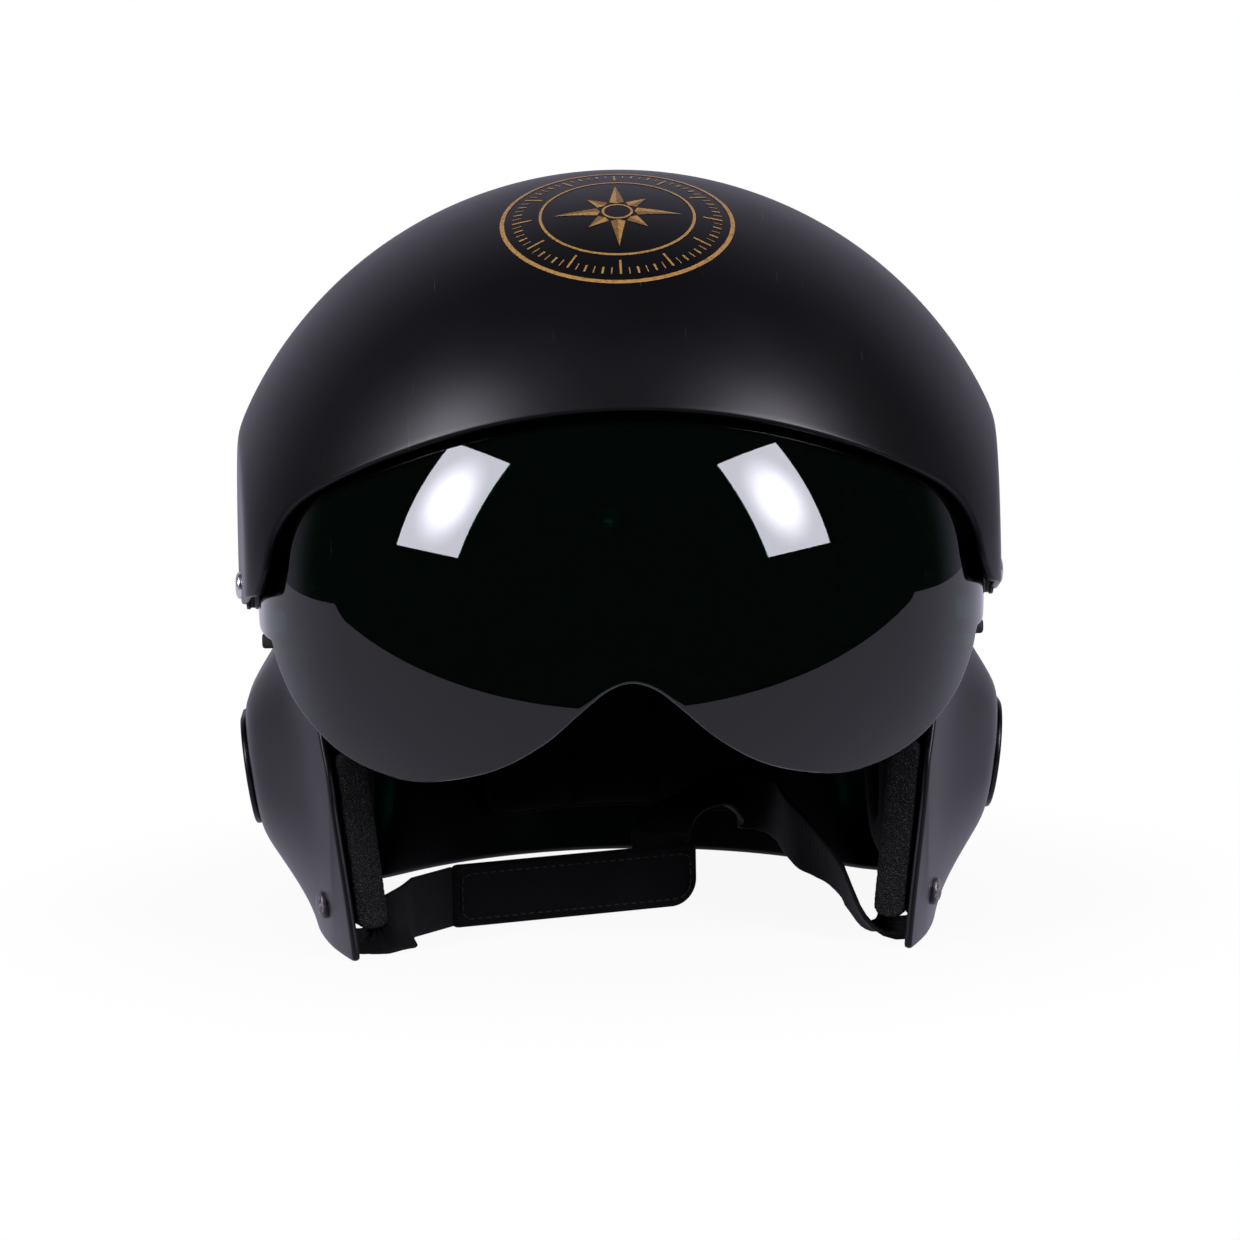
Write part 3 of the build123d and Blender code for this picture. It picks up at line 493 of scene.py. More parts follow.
cover_loop = softened(even(cover_loop, 900, closed=True), 2)
cover_loop = leave(cover_form, cover_centre, unit(even(cover_loop, 640, closed=True) - cover_centre))
moulding(
    "visor_cover_dome", cover_form, cover_centre, cover_pole, cover_loop, shell_wall, 120,
    replaces=["visor_cover"], **satin,
)

# Helmet shell
# The inner shell is a second moulding of the same satin black plastic. Its hollow ear bulges,
# cheeks and nape show below the cover, and bosses on it take the pivots, rivets and rear screw.
crown_radius = 111 * mm
crown_back_reach = 137 * mm
base_heights = np.array((0, 40, 80, 113)) * mm
base_half_widths = np.array((101, 105, 109, 111)) * mm
base_front_reaches = np.array((148, 142, 130, 111)) * mm
base_back_reaches = np.array((114, 125, 133, 137)) * mm
shell_brow = (-95 * mm, 193 * mm)
shell_temple = (-58 * mm, 118 * mm)
shell_temple_bend = 30 * mm
cheek_top = (-80 * mm, 60 * mm)
cheek_top_bend = 22 * mm
cheek_tip = (-88 * mm, 0)
bulge_root_half_width = 96 * mm
bulge_root_half_size = np.array((69, 59)) * mm
bulge_root_corner = 48 * mm
bulge_root_place = np.array((-3, 54)) * mm
bulge_half_width = 123.2 * mm
bulge_face_half_size = np.array((31, 22)) * mm
bulge_face_corner = 20.5 * mm
bulge_face_place = np.array((2, 50.5)) * mm
bulge_lean = radians(7.4)
bulge_slope = 0.66
bulge_edge = 3 * mm
bulge_root_edge = 5 * mm
shell_centre = np.array((0, -10 * mm, 66 * mm))
shell_pole = (0, 0.55, 0.83)
base_width_curve = np.polyfit(base_heights, base_half_widths, 3)
base_front_curve = np.polyfit(base_heights, base_front_reaches, 3)
base_back_curve = np.polyfit(base_heights, base_back_reaches, 3)


def oval_depth(first, second, first_half, second_half):
    """How far points lie outside an ellipse, nearly."""
    size = np.hypot(first / first_half, second / second_half)
    slope = np.hypot(first / first_half**2, second / second_half**2)
    return (size - 1) * size / np.maximum(slope, 1)


def head_form(points):
    """How far points lie outside the shell without its ear bulges."""
    x, y, z = np.moveaxis(points, -1, 0)
    fore = y - pivot[1]
    rise = np.clip(z, -20 * mm, pivot[2])
    reaches = np.where(fore < 0, np.polyval(base_front_curve, rise), np.polyval(base_back_curve, rise))
    base = oval_depth(x, fore, np.polyval(base_width_curve, rise), reaches)
    up_out = np.hypot(x, z - pivot[2])
    crown_reach = np.where(fore < 0, crown_radius, crown_back_reach)
    crown = oval_depth(up_out, fore, crown_radius, crown_reach)
    return np.where(z > pivot[2], crown, base)


def bulge_form(points):
    """How far points lie outside the ear bulges."""
    x, y, z = np.moveaxis(points, -1, 0)
    out = np.abs(x)
    face_out = bulge_half_width + np.tan(bulge_lean) * (z - bulge_face_place[1])
    share = np.clip((out - bulge_root_half_width) / (face_out - bulge_root_half_width), 0, 1.2)

    def here(root, face):
        return root + share * (face - root)

    corner = here(bulge_root_corner, bulge_face_corner)
    places = zip(bulge_root_place, bulge_face_place)
    half_sizes = zip(bulge_root_half_size, bulge_face_half_size)
    from_y, from_z = (
        np.abs(spot - here(*place)) - here(*half_size) + corner
        for spot, place, half_size in zip((y, z), places, half_sizes)
    )
    outside = np.hypot(np.maximum(from_y, 0), np.maximum(from_z, 0))
    around = outside + np.minimum(np.maximum(from_y, from_z), 0) - corner
    face = (out - face_out) * cos(bulge_lean)
    return smooth_max(around * bulge_slope, face, bulge_edge)


def shell_form(points):
    """How far points lie outside the helmet shell."""
    return -smooth_max(-head_form(points), -bulge_form(points), bulge_root_edge)


def arc_between(before, corner, after, bend, count):
    """Points of an arc that rounds a corner."""
    back, on = unit(before - corner), unit(after - corner)
    half = np.arccos(np.clip(back @ on, -1, 1)) / 2
    centre = corner + unit(back + on) * bend / sin(half)
    start, end = corner + back * bend / np.tan(half), corner + on * bend / np.tan(half)
    shares = np.linspace(0, 1, count)[:, None]
    return centre + bend * unit((1 - shares) * (start - centre) + shares * (end - centre))


def bent_line(points, bends):
    """A line through points, its inner corners rounded."""
    points = np.array(points, float)
    arcs = [arc_between(*corner, bend, 16) for *corner, bend in zip(points, points[1:], points[2:], bends)]
    return np.vstack((points[:1], *arcs, points[-1:]))


face_edge = even(
    bent_line((shell_brow, shell_temple, cheek_top, cheek_tip), (shell_temple_bend, cheek_top_bend)), 500
)
face_starts = rows(0, face_edge[:, 0], face_edge[:, 1])
face_starts = face_starts[shell_form(face_starts) < 0]
shell_front_edge = leave(shell_form, face_starts, (1, 0, 0))
brow_start = shell_front_edge[0] * (0, 1, 1)
shell_front_edge = np.vstack(([brow_start], shell_front_edge))
tip_turn = atan2(cheek_tip[0] - pivot[1], shell_front_edge[-1, 0])
rim_turns = np.linspace(tip_turn, pi / 2, 300)[1:]
shell_rim = leave(shell_form, (0, pivot[1], 0), rows(np.cos(rim_turns), np.sin(rim_turns), 0))
shell_loop = both_halves(np.vstack((shell_front_edge, shell_rim)))
shell_loop = softened(even(shell_loop, 1200, closed=True), 2)
shell_loop[:, 2] = np.maximum(shell_loop[:, 2], 0)
shell_loop = leave(shell_form, shell_centre, unit(even(shell_loop, 860, closed=True) - shell_centre))
moulding(
    "inner_helmet_shell", shell_form, shell_centre, shell_pole, shell_loop, shell_wall, 140,
    replaces=["helmet_shell"], **satin,
)

# Visor
# A thin bowl of dark green tinted plastic, turned about the pivot line, with a notch for the
# nose. Its ends are round tabs with a boss, clamped between friction washers at the temples.
visor_front_radius = 143 * mm
visor_radius = 115.5 * mm
visor_corner_radius = 75 * mm
visor_side_radius = 230 * mm
visor_half_width = 119.5 * mm
visor_wall = 2 * mm
tab_radius = 12 * mm
visor_top_angle = radians(36)
visor_top_reach = 130 * mm
visor_steps = 240
visor_edge_points = (
    (0, 94.8), (7.7, 92.2), (15.5, 85.7), (28, 74.5), (44, 65.2), (65, 60.2), (81, 62.3),
    (94, 69.2), (105.5, 81.3), (111.4, 93), (113.5, 101),
)
front_arc_place = np.array((0, visor_radius - visor_front_radius))
side_arc_place = np.array((visor_half_width - visor_side_radius, 0))
arc_gap = side_arc_place - front_arc_place
to_front = visor_front_radius - visor_corner_radius
to_side = visor_side_radius - visor_corner_radius
gap = np.linalg.norm(arc_gap)
foot = (to_front**2 - to_side**2 + gap**2) / (2 * gap)
offset = sqrt(to_front**2 - foot**2)
gap_way = arc_gap / gap
corner_arc_place = front_arc_place + gap_way * foot + offset * np.array((gap_way[1], -gap_way[0]))


def visor_form(points):
    """How far points lie outside the visor's bowl."""
    x, y, z = np.moveaxis(points, -1, 0)
    across = np.abs(x)
    around = np.hypot(y - pivot[1], z - pivot[2])
    from_corner = across - corner_arc_place[0], around - corner_arc_place[1]
    front_way = corner_arc_place - front_arc_place
    side_way = corner_arc_place - side_arc_place
    in_front = front_way[0] * from_corner[1] - front_way[1] * from_corner[0] > 0
    at_side = side_way[0] * from_corner[1] - side_way[1] * from_corner[0] < 0
    front = np.hypot(across - front_arc_place[0], around - front_arc_place[1]) - visor_front_radius
    side = np.hypot(across - side_arc_place[0], around - side_arc_place[1]) - visor_side_radius
    corner = np.hypot(*from_corner) - visor_corner_radius
    return np.where(in_front, front, np.where(at_side, side, corner))


def through(points, steps):
    """A smooth line through points, with its ends' directions from the mirrored neighbours."""
    points = np.asarray(points, float)
    padded = np.vstack((2 * points[0] - points[1], points, 2 * points[-1] - points[-2]))
    line = []
    for a, b, c, d in zip(padded, padded[1:], padded[2:], padded[3:]):
        for share in np.linspace(0, 1, steps, endpoint=False):
            line.append(
                0.5 * (2 * b + (c - a) * share + (2 * a - 5 * b + 4 * c - d) * share**2
                       + (3 * b - a - 3 * c + d) * share**3)
            )
    line.append(points[-1])
    return np.array(line)


def smoked_plastic():
    """Dark green see-through plastic with a hard gloss, hairline scratches and a gentle waviness."""
    material, tree, main = shader(
        "green_smoked_plastic", (0.0008, 0.028, 0.014), 0.03, Transmission_Weight=1, IOR=1.5
    )
    scratch = noise(tree, 30, 2, stretch=(12, 0.6, 0.8))
    feed(tree, main, {"Roughness": between(tree, scratch, 0.015, 0.3, 0.72, 0.76)})
    raise_by(tree, main, noise(tree, 9, 1), 0.12 * mm)
    return material


tinted = {"materials": [smoked_plastic()], "body": "visor", "slot": "visor_tint"}
mirror_start = np.array(visor_edge_points[1]) * (-1, 1)
visor_front_view = through(np.vstack((mirror_start, visor_edge_points)) * mm, 14)[14:]
edge_starts = rows(visor_front_view[:, 0], pivot[1], visor_front_view[:, 1])
lower_edge = leave(visor_form, edge_starts, (0, -1, 0))
tab_turns = np.linspace(-pi / 2, pi / 2 + visor_top_angle, 60)
top_way = np.array((-cos(visor_top_angle), sin(visor_top_angle)))
tab_line = rows(np.cos(tab_turns), np.sin(tab_turns)) * tab_radius + pivot[1:]
level_line = np.linspace((lower_edge[-1, 1], tab_line[0, 1]), tab_line[0], 60)[1:-1]
top_line = tab_line[-1] + top_way * (np.linspace(0, 1, 300)[1:, None] * visor_top_reach)
side_view = np.vstack((level_line, tab_line, top_line))
side_starts = rows(0, side_view[:, 0], side_view[:, 1])
side_starts = side_starts[visor_form(side_starts) < 0]
upper_edge = leave(visor_form, side_starts, (1, 0, 0))
tab_place = len(level_line) + len(tab_line) // 2
lower_half = np.vstack((lower_edge, upper_edge[:tab_place + 1]))
upper_half = np.vstack((upper_edge[tab_place:], [upper_edge[-1] * (0, 1, 1)]))
visor_half = np.vstack((even(lower_half, visor_steps + 1), even(upper_half, visor_steps + 1)[1:]))
visor_loop = softened(both_halves(visor_half), 1)
visor_loop = leave(visor_form, pivot, unit(visor_loop - pivot))
visor_partners = (2 * visor_steps - np.arange(4 * visor_steps)) % (4 * visor_steps)
visor_spine = visor_loop + visor_loop[visor_partners] - 2 * pivot
moulding(
    "tinted_visor", visor_form, pivot, visor_spine, visor_loop, visor_wall, 50, replaces=["visor"], **tinted,
)

# Fixings of the bosses
# Round bosses of the same mouldings carry the pivots, the strap rivets and the rear screw.
# The visor's own bosses are moulded onto its tabs in the tinted plastic.
seat_outer = 124.8 * mm
seat_inner = 122.2 * mm
visor_boss_span = (118.3 * mm, 120.7 * mm)
shell_boss_span = (105 * mm, 116.8 * mm)
rear_seat_y = 131.1 * mm
rear_seat_thickness = 2.6 * mm
seat_thickness = 1.2 * mm
seat_round = 0.2 * mm
hard_edge = radians(40)
to_rear = np.array((0, 1, 0))
rear_boss_span = (115.4 * mm, 120.4 * mm)
rear_place = np.array((0, 0, 118 * mm))
seat_radius = 8 * mm
shell_boss_radius = 9 * mm
rivet_place = (-62 * mm, 14.5 * mm)
rivet_boss_proud = 0.8 * mm
rivet_boss_radius = 5 * mm
boss_round = 0.5 * mm
screw_hole = 2.25 * mm
bush_hole = 4.2 * mm
rivet_hole = 1.75 * mm
ways_out = {side: np.array((sign, 0, 0), float) for side, sign in sides.items()}


def turned(name, profile, origin, axis, materials, count=56, **facts):
    """A piece turned about an axis, from its profile's radii and heights."""
    axis = unit(axis)
    across = unit(np.cross(axis, (0, 0, 1) if abs(axis[2]) < 0.9 else (1, 0, 0)))
    turns = np.linspace(0, 2 * pi, count, endpoint=False)[:, None]
    circle = np.cos(turns) * across + np.sin(turns) * np.cross(axis, across)
    rings = np.array([origin + axis * height + radius * circle for radius, height in profile])
    if profile[0][0] > 0:
        made = piece(name, rings.reshape(-1, 3), ring_faces(len(rings), count, wrap=True), materials, **facts)
    else:
        made = closed_piece(name, rings[1:-1], rings[0, 0], rings[-1, 0], materials, **facts)
    made.data.set_sharp_from_angle(angle=hard_edge)
    return made


def disc_profile(radius, low, high, bend, hole=0):
    """Radii and heights of a disc with rounded outer edges, and with a hole if one is given."""
    return (
        (hole, low), (radius - bend, low), (radius, low + bend), (radius, high - bend),
        (radius - 0.3 * bend, high - 0.3 * bend), (radius - bend, high), (hole, high),
    )


def rivet_seat(side):
    """The place on the shell's surface under a strap rivet, and the way out of it."""
    spot = leave(shell_form, np.array((0, *rivet_place)), ways_out[side])
    out = facing(shell_form, spot) * (1, 1, 0)
    return spot, unit(out)


seat_span = (seat_inner, seat_inner + seat_thickness)
rivet_boss_span = (-shell_wall - rivet_boss_proud, rivet_boss_proud)
rear_seat_span = (rear_seat_y - rear_seat_thickness, rear_seat_y)
pivot_boss = disc_profile(shell_boss_radius, *shell_boss_span, boss_round, screw_hole)
cover_seat = disc_profile(seat_radius, *seat_span, seat_round, screw_hole)
visor_boss = disc_profile(seat_radius, *visor_boss_span, boss_round, bush_hole)
rivet_boss = disc_profile(rivet_boss_radius, *rivet_boss_span, boss_round, rivet_hole)
rear_boss = disc_profile(shell_boss_radius, *rear_boss_span, boss_round, screw_hole)
rear_seat = disc_profile(seat_radius, *rear_seat_span, seat_round, screw_hole)
for side, way in ways_out.items():
    turned(f"{side}_pivot_boss", pivot_boss, pivot, way, **satin)
    turned(f"{side}_cover_seat", cover_seat, pivot, way, **satin)
    turned(f"{side}_visor_boss", visor_boss, pivot, way, **tinted)
    turned(f"{side}_rivet_boss", rivet_boss, *rivet_seat(side), **satin)
turned("rear_boss", rear_boss, rear_place, to_rear, **satin)
turned("rear_cover_seat", rear_seat, rear_place, to_rear, **satin)

# Pivot and rear screws
# Bright steel pan heads with a cross recess clamp the cover, the bushes and the shell.
# The nuts, washers and bushes behind them are plain turned or stamped steel.
screw_radius = 2 * mm
head_radius = 4.5 * mm
head_height = 2.2 * mm
rear_head_height = 1.2 * mm
recess_width = 1.2 * mm
recess_length = 5 * mm
recess_depth = 1.2 * mm
screw_tip = 101.2 * mm
rear_screw_tip = 109.6 * mm
thread_pitch = 0.7 * mm
thread_depth = 0.22 * mm


def bright_steel():
    """Bright plated steel, lightly turned and a little dulled by handling."""
    material, tree, main = shader("bright_steel", (0.75, 0.74, 0.72), 0.22, Metallic=1)
    feed(tree, main, {"Roughness": between(tree, noise(tree, 900, 3), 0.14, 0.38)})
    raise_by(tree, main, noise(tree, 2500, 2), 0.01 * mm)
    return material


def dress(nodes, material):
    """Give bodies of the frame that keep their own mesh a material."""
    for node in nodes:
        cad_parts[node].data.materials.clear()
        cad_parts[node].data.materials.append(material)


def cut_away(made, cutter):
    """Take one mesh out of another and delete the cutter."""
    cut = made.modifiers.new("cut", "BOOLEAN")
    cut.operation = "DIFFERENCE"
    cut.object = cutter
    whole = made.evaluated_get(bpy.context.evaluated_depsgraph_get())
    result = bpy.data.meshes.new_from_object(whole)
    made.modifiers.clear()
    made.data = result
    bpy.data.objects.remove(cutter)


def cross_cutter(origin, axis, across, depth):
    """A cross-shaped plug for a screw's recess, narrowing as it goes in."""
    axis, across = unit(axis), unit(across)
    other = np.cross(axis, across)
    half, arm = recess_width / 2, recess_length / 2
    outline = [
        (half, half), (arm, half), (arm, -half), (half, -half), (half, -arm), (-half, -arm),
        (-half, -half), (-arm, -half), (-arm, half), (-half, half), (-half, arm), (half, arm),
    ]
    points = []
    for height, share in ((depth, 1.0), (-depth, 0.72)):
        points += [origin + axis * height + share * (u * across + v * other) for u, v in outline]
    faces = [tuple(range(12)), tuple(range(23, 11, -1))]
    faces += [(place, place + 12, (place + 1) % 12 + 12, (place + 1) % 12) for place in range(12)]
    mesh = bpy.data.meshes.new("recess")
    mesh.from_pydata([tuple(point) for point in points], [], faces)
    cutter = bpy.data.objects.new("recess", mesh)
    bpy.context.scene.collection.objects.link(cutter)
    return cutter


def pan_screw(name, node, seat, axis, height, length, across):
    """A pan head screw with a threaded shank, its recess turned a little."""
    plain = -0.55 * length
    profile = [(0, height), (0.5 * head_radius, height)]
    for turn in np.linspace(0.12, 0.5, 7) * pi:
        profile.append(
            (0.42 * head_radius + 0.58 * head_radius * sin(turn), height * (0.35 + 0.65 * cos(turn)))
        )
    profile += [(head_radius, 0), (screw_radius, 0), (screw_radius, plain)]
    for ridge in range(int(0.45 * length / thread_pitch)):
        start = plain - ridge * thread_pitch
        profile += [
            (screw_radius - thread_depth, start - thread_pitch / 2), (screw_radius, start - thread_pitch),
        ]
    profile.append((0, -length))
    made = turned(name, profile, seat, axis, [steel], slot="steel", replaces=[node])
    cut_away(made, cross_cutter(seat + unit(axis) * height, axis, across, recess_depth))


steel = bright_steel()
screw_turns = {"right": (0, 0.8, 0.6), "left": (0, 0.94, -0.34)}
rear_screw_turn = (0.5, 0, 0.87)
for side, way in ways_out.items():
    pan_screw(
        f"{side}_pivot_screw", "pivot_screws", pivot + way * seat_outer, way, head_height,
        seat_outer - screw_tip, screw_turns[side],
    )
pan_screw(
    "rear_cover_screw", "rear_screw", rear_place + to_rear * rear_seat_y, to_rear, rear_head_height,
    rear_seat_y - rear_screw_tip, rear_screw_turn,
)
dress(("nut_washers", "pivot_nuts", "rear_nut", "pivot_bushes", "rivet_washers"), steel)

# Friction washers, spacer and visor stops
# Dull black nylon washers give the visor its drag, and a nylon spacer carries the cover's rear.
# A short rubber post under each temple is what the lowered visor rests on.
stop_place = np.array((0, -44 * mm, 98.2 * mm))
stop_span = (103 * mm, 117.5 * mm)
stop_radius = 2.5 * mm
stop_round = 0.9 * mm


def plain_black(name, colour, roughness, scale, relief):
    """Plain black stock with a little cloud in its gloss and a fine skin."""
    material, tree, main = shader(name, colour, roughness, Specular_IOR_Level=0.25)
    cloud = noise(tree, scale / 8, 3)
    feed(tree, main, {"Roughness": between(tree, cloud, roughness - 0.08, min(roughness + 0.12, 1))})
    raise_by(tree, main, noise(tree, scale, 3), relief)
    return material


nylon = plain_black("black_nylon", (0.02, 0.02, 0.02), 0.5, 900, 0.02 * mm)
rubber = plain_black("black_rubber", (0.018, 0.018, 0.018), 0.7, 1400, 0.03 * mm)
dress(("outer_friction_washers", "inner_friction_washers", "rear_spacer"), nylon)
for side, way in ways_out.items():
    turned(
        f"{side}_visor_stop", disc_profile(stop_radius, *stop_span, stop_round), stop_place, way,
        [rubber], slot="rubber_black", replaces=["visor_stops"],
    )

# Ear caps
# Thin oval plates of the same satin plastic, glued to the leaning faces of the ear bulges.
# Each has a raised, rounded rim around a shallow, flat field.
cap_length = 50 * mm
cap_height = 36.5 * mm
cap_rim = 3 * mm
cap_thickness = 2 * mm
cap_recess = 0.7 * mm
cap_drop = 1 * mm
cap_sink = -0.3 * mm
cap_profile = (
    (0, cap_sink), (0, 0.62), (0.08, 0.85), (0.22, 0.97), (0.4, 1), (0.68, 1), (0.85, 0.96),
    (0.96, 0.84), (1, 0.72), (1.08, 0.66), (1.3, 0.65), (3, 0.65),
)


def oval(inset, count=120):
    """Points of the cap's outline, a slot with round ends, inset from its edge."""
    turns = np.linspace(0, 2 * pi, count, endpoint=False)
    straight = (cap_length - cap_height) / 2 * np.minimum(1, np.abs(np.cos(turns)) * 40)
    return (
        (cap_height / 2 - inset) * rows(np.cos(turns), np.sin(turns))
        + rows(np.sign(np.cos(turns)) * straight, 0)
    )


for side, sign in sides.items():
    out = np.array((sign * cos(bulge_lean), 0, -sin(bulge_lean)))
    up = np.array((sign * sin(bulge_lean), 0, cos(bulge_lean)))
    cap_middle = np.array((sign * bulge_half_width, *bulge_face_place)) - up * cap_drop
    rings = []
    for inset_share, height_share in cap_profile:
        height = cap_sink if height_share == cap_sink else height_share * cap_thickness
        spots = oval(inset_share * cap_rim)
        rings.append(cap_middle + height * out + spots[:, :1] * to_rear + spots[:, 1:] * up)
    closed_piece(
        f"{side}_ear_cap_plate", rings, cap_middle + cap_sink * out,
        cap_middle + (cap_thickness - cap_recess) * out, replaces=[f"{side}_ear_cap"], **satin,
    )

# Crest
# A gold print on the front of the dome: a plain compass rose in two tones inside two rings,
# with the tick marks of a compass card between them. The ink stands just proud of the plastic.
crest_tilt = radians(24.3)
crest_origin = np.array((0, cover_peak_y, cover_axis_height + cover_peak_radius - cover_front_radius))
crest_out = np.array((0, -sin(crest_tilt), cos(crest_tilt)))
crest_up = np.array((0, cos(crest_tilt), sin(crest_tilt)))
crest_height = 0.14 * mm
outer_ring = (36.2 * mm, 37.6 * mm)
inner_ring = (24.2 * mm, 25.1 * mm)
tick_rings = (27.4 * mm, 33.6 * mm)
short_tick_start = 30.8 * mm
tick_width = 0.7 * mm
hub_ring = (4.2 * mm, 5 * mm)
long_ray = 20.6 * mm
short_ray = 13.4 * mm
ray_gap = 0.5 * mm
ray_spread = radians(20)


def gold_print(name, colour, dark):
    """Gold ink with fine speckles and thin places where it has worn."""
    material, tree, main = shader(name, colour, 0.38)
    ink = between(tree, noise(tree, 900, 4), 0, 1, 0.34, 0.5)
    feed(tree, main, {"Base Color": blend_colours(tree, ink, dark, colour)})
    raise_by(tree, main, noise(tree, 1500, 2), 0.01 * mm)
    return material


light_gold = gold_print("light_gold_print", (0.3, 0.165, 0.045), (0.17, 0.09, 0.025))
dark_gold = gold_print("dark_gold_print", (0.15, 0.075, 0.018), (0.08, 0.04, 0.01))


def on_dome(flat):
    """Places on the dome for points of the flat print."""
    starts = crest_origin + flat[:, :1] * (1, 0, 0) + flat[:, 1:] * crest_up
    return leave(cover_form, starts, crest_out) + crest_height * crest_out


def print_ring(low, high, count=240):
    """Flat points and faces of a printed ring."""
    turns = np.linspace(0, 2 * pi, count, endpoint=False)
    circle = np.stack((np.sin(turns), np.cos(turns)), axis=1)
    points = np.vstack([circle * radius for radius in np.linspace(low, high, 3)])
    return points, ring_faces(3, count).tolist()


def print_patch(corners, steps=8):
    """Flat points and faces of a printed patch between four corners."""
    a, b, c, d = (np.array(corner) for corner in corners)
    shares = np.linspace(0, 1, steps + 1)[:, None]
    low, high = a + (b - a) * shares, d + (c - d) * shares
    row, column = np.divmod(np.arange(steps * steps), steps)
    corner = row * (steps + 1) + column
    faces = rows(corner, corner + 1, corner + steps + 2, corner + steps + 1)
    return np.vstack([low + (high - low) * share for share in shares]), faces.tolist()


crest_points, crest_faces, crest_tones = [], [], []


def add_print(points, faces, tone):
    """Put a printed shape on the crest in one of its two tones."""
    shift = sum(len(group) for group in crest_points)
    crest_points.append(points)
    crest_faces.extend([tuple(corner + shift for corner in face) for face in faces])
    crest_tones.extend([tone] * len(faces))


for low, high in (outer_ring, inner_ring, hub_ring):
    add_print(*print_ring(low, high), 0)
for tick in range(72):
    turn = radians(5 * tick)
    way, beside = np.array((sin(turn), cos(turn))), np.array((cos(turn), -sin(turn)))
    start = tick_rings[0] if tick % 6 == 0 else short_tick_start
    half = beside * (tick_width / 2 if tick % 2 == 0 else tick_width / 4)
    low, high = way * start, way * tick_rings[1]
    add_print(*print_patch((low - half, low + half, high + half, high - half), 4), 0)
foot = hub_ring[1] + ray_gap
for ray in range(8):
    turn = radians(45 * ray)
    way = np.array((sin(turn), cos(turn)))
    tip = (long_ray if ray % 2 == 0 else short_ray) * way
    for hand, tone in ((-1, 0), (1, 1)):
        side_turn = turn + hand * ray_spread
        beside = 1.25 * foot * np.array((sin(side_turn), cos(side_turn)))
        add_print(*print_patch((foot * way, beside, tip, tip), 8), tone)
crest = piece(
    "compass_crest", on_dome(np.vstack(crest_points)), crest_faces, [light_gold, dark_gold],
    slot="gold_print", replaces=["crest_decal"],
)
for face, tone in zip(crest.data.polygons, crest_tones):
    face.material_index = tone

# Strap rivets
# Dull grey domed rivets go through each cheek, the webbing and a steel washer.
# They are set cold, so the heads are a little flat and marked.
rivet_radius = 3.8 * mm
rivet_shank_radius = 1.6 * mm
rivet_height = 1.6 * mm
rivet_end = 7.1 * mm


def grey_rivet_metal():
    """Grey lacquered metal, scuffed on its dome."""
    material, tree, main = shader("grey_rivet_metal", (0.16, 0.15, 0.155), 0.42, Metallic=0.7)
    scuff = noise(tree, 700, 4)
    tone = between(tree, scuff, 0, 1, 0.45, 0.65)
    feed(tree, main, {"Base Color": blend_colours(tree, tone, (0.11, 0.1, 0.105), (0.3, 0.29, 0.29))})
    raise_by(tree, main, scuff, 0.03 * mm)
    return material


rivet_metal = grey_rivet_metal()
rivet_profile = [(0, rivet_boss_proud + rivet_height)]
for turn in np.linspace(0.08, 0.5, 8) * pi:
    rise = rivet_height * (0.2 + 0.8 * cos(turn))
    rivet_profile.append((rivet_radius * sin(turn), rivet_boss_proud + rise))
rivet_profile += [
    (rivet_radius, rivet_boss_proud), (rivet_shank_radius, rivet_boss_proud),
    (rivet_shank_radius, -rivet_end), (0, -rivet_end),
]
for side in sides:
    turned(
        f"{side}_strap_rivet", rivet_profile, *rivet_seat(side), [rivet_metal], slot="rivet_grey",
        replaces=["strap_rivets"],
    )

# Chin band
# A padded band of black cloth over thin foam, bound and sewn round its edge. It lies loose
# between the two straps, on its lower edge.
band_start = np.array((-58, -39, 11.1)) * mm
band_turn = radians(20.7)
band_length = 87.7 * mm
band_height = 21 * mm
band_thickness = 5 * mm
band_corner = 9 * mm
band_small_corner = 2 * mm
stitch_inset = 3 * mm
stitch_height_share = 0.72
stitch_sink = 0.1 * mm
stitch_pitch = 3 * mm
stitch_length = 2.2 * mm
thread_radius = 0.28 * mm
band_along = np.array((cos(band_turn), sin(band_turn), 0))
band_out = np.array((sin(band_turn), -cos(band_turn), 0))
upright = np.array((0, 0, 1.0))


def black_cloth(name, colour, scale, relief, roughness=0.85):
    """Black woven cloth, with a fine weave, a soft sheen and uneven dye."""
    material, tree, main = shader(
        name, colour, roughness, Specular_IOR_Level=0.06, Sheen_Weight=0.015, Sheen_Roughness=0.4
    )
    place = add_node(tree, "TexCoord").outputs["Object"]
    weave = {"Vector": place, "Scale": scale, "Distortion": 0.6, "Detail": 1}
    waves = [add_node(tree, "TexWave", weave, bands_direction=axis).outputs["Fac"] for axis in "XYZ"]
    grain = join_values(tree, "MULTIPLY", join_values(tree, "MULTIPLY", *waves[:2]), waves[2])
    light = tuple(min(1, 2.2 * channel) for channel in colour)
    feed(tree, main, {"Base Color": blend_colours(tree, noise(tree, 160, 4), colour, light)})
    raise_by(tree, main, grain, relief)
    raise_by(tree, main, noise(tree, 1300, 3), relief / 2)
    return material


def rounded_outline(corners, bends, count):
    """An even outline through corners, each rounded by its own bend."""
    corners = np.array(corners, float)
    neighbours = zip(np.roll(corners, 1, axis=0), corners, np.roll(corners, -1, axis=0), bends)
    return even(np.vstack([arc_between(*corner, 14) for corner in neighbours]), count, closed=True)


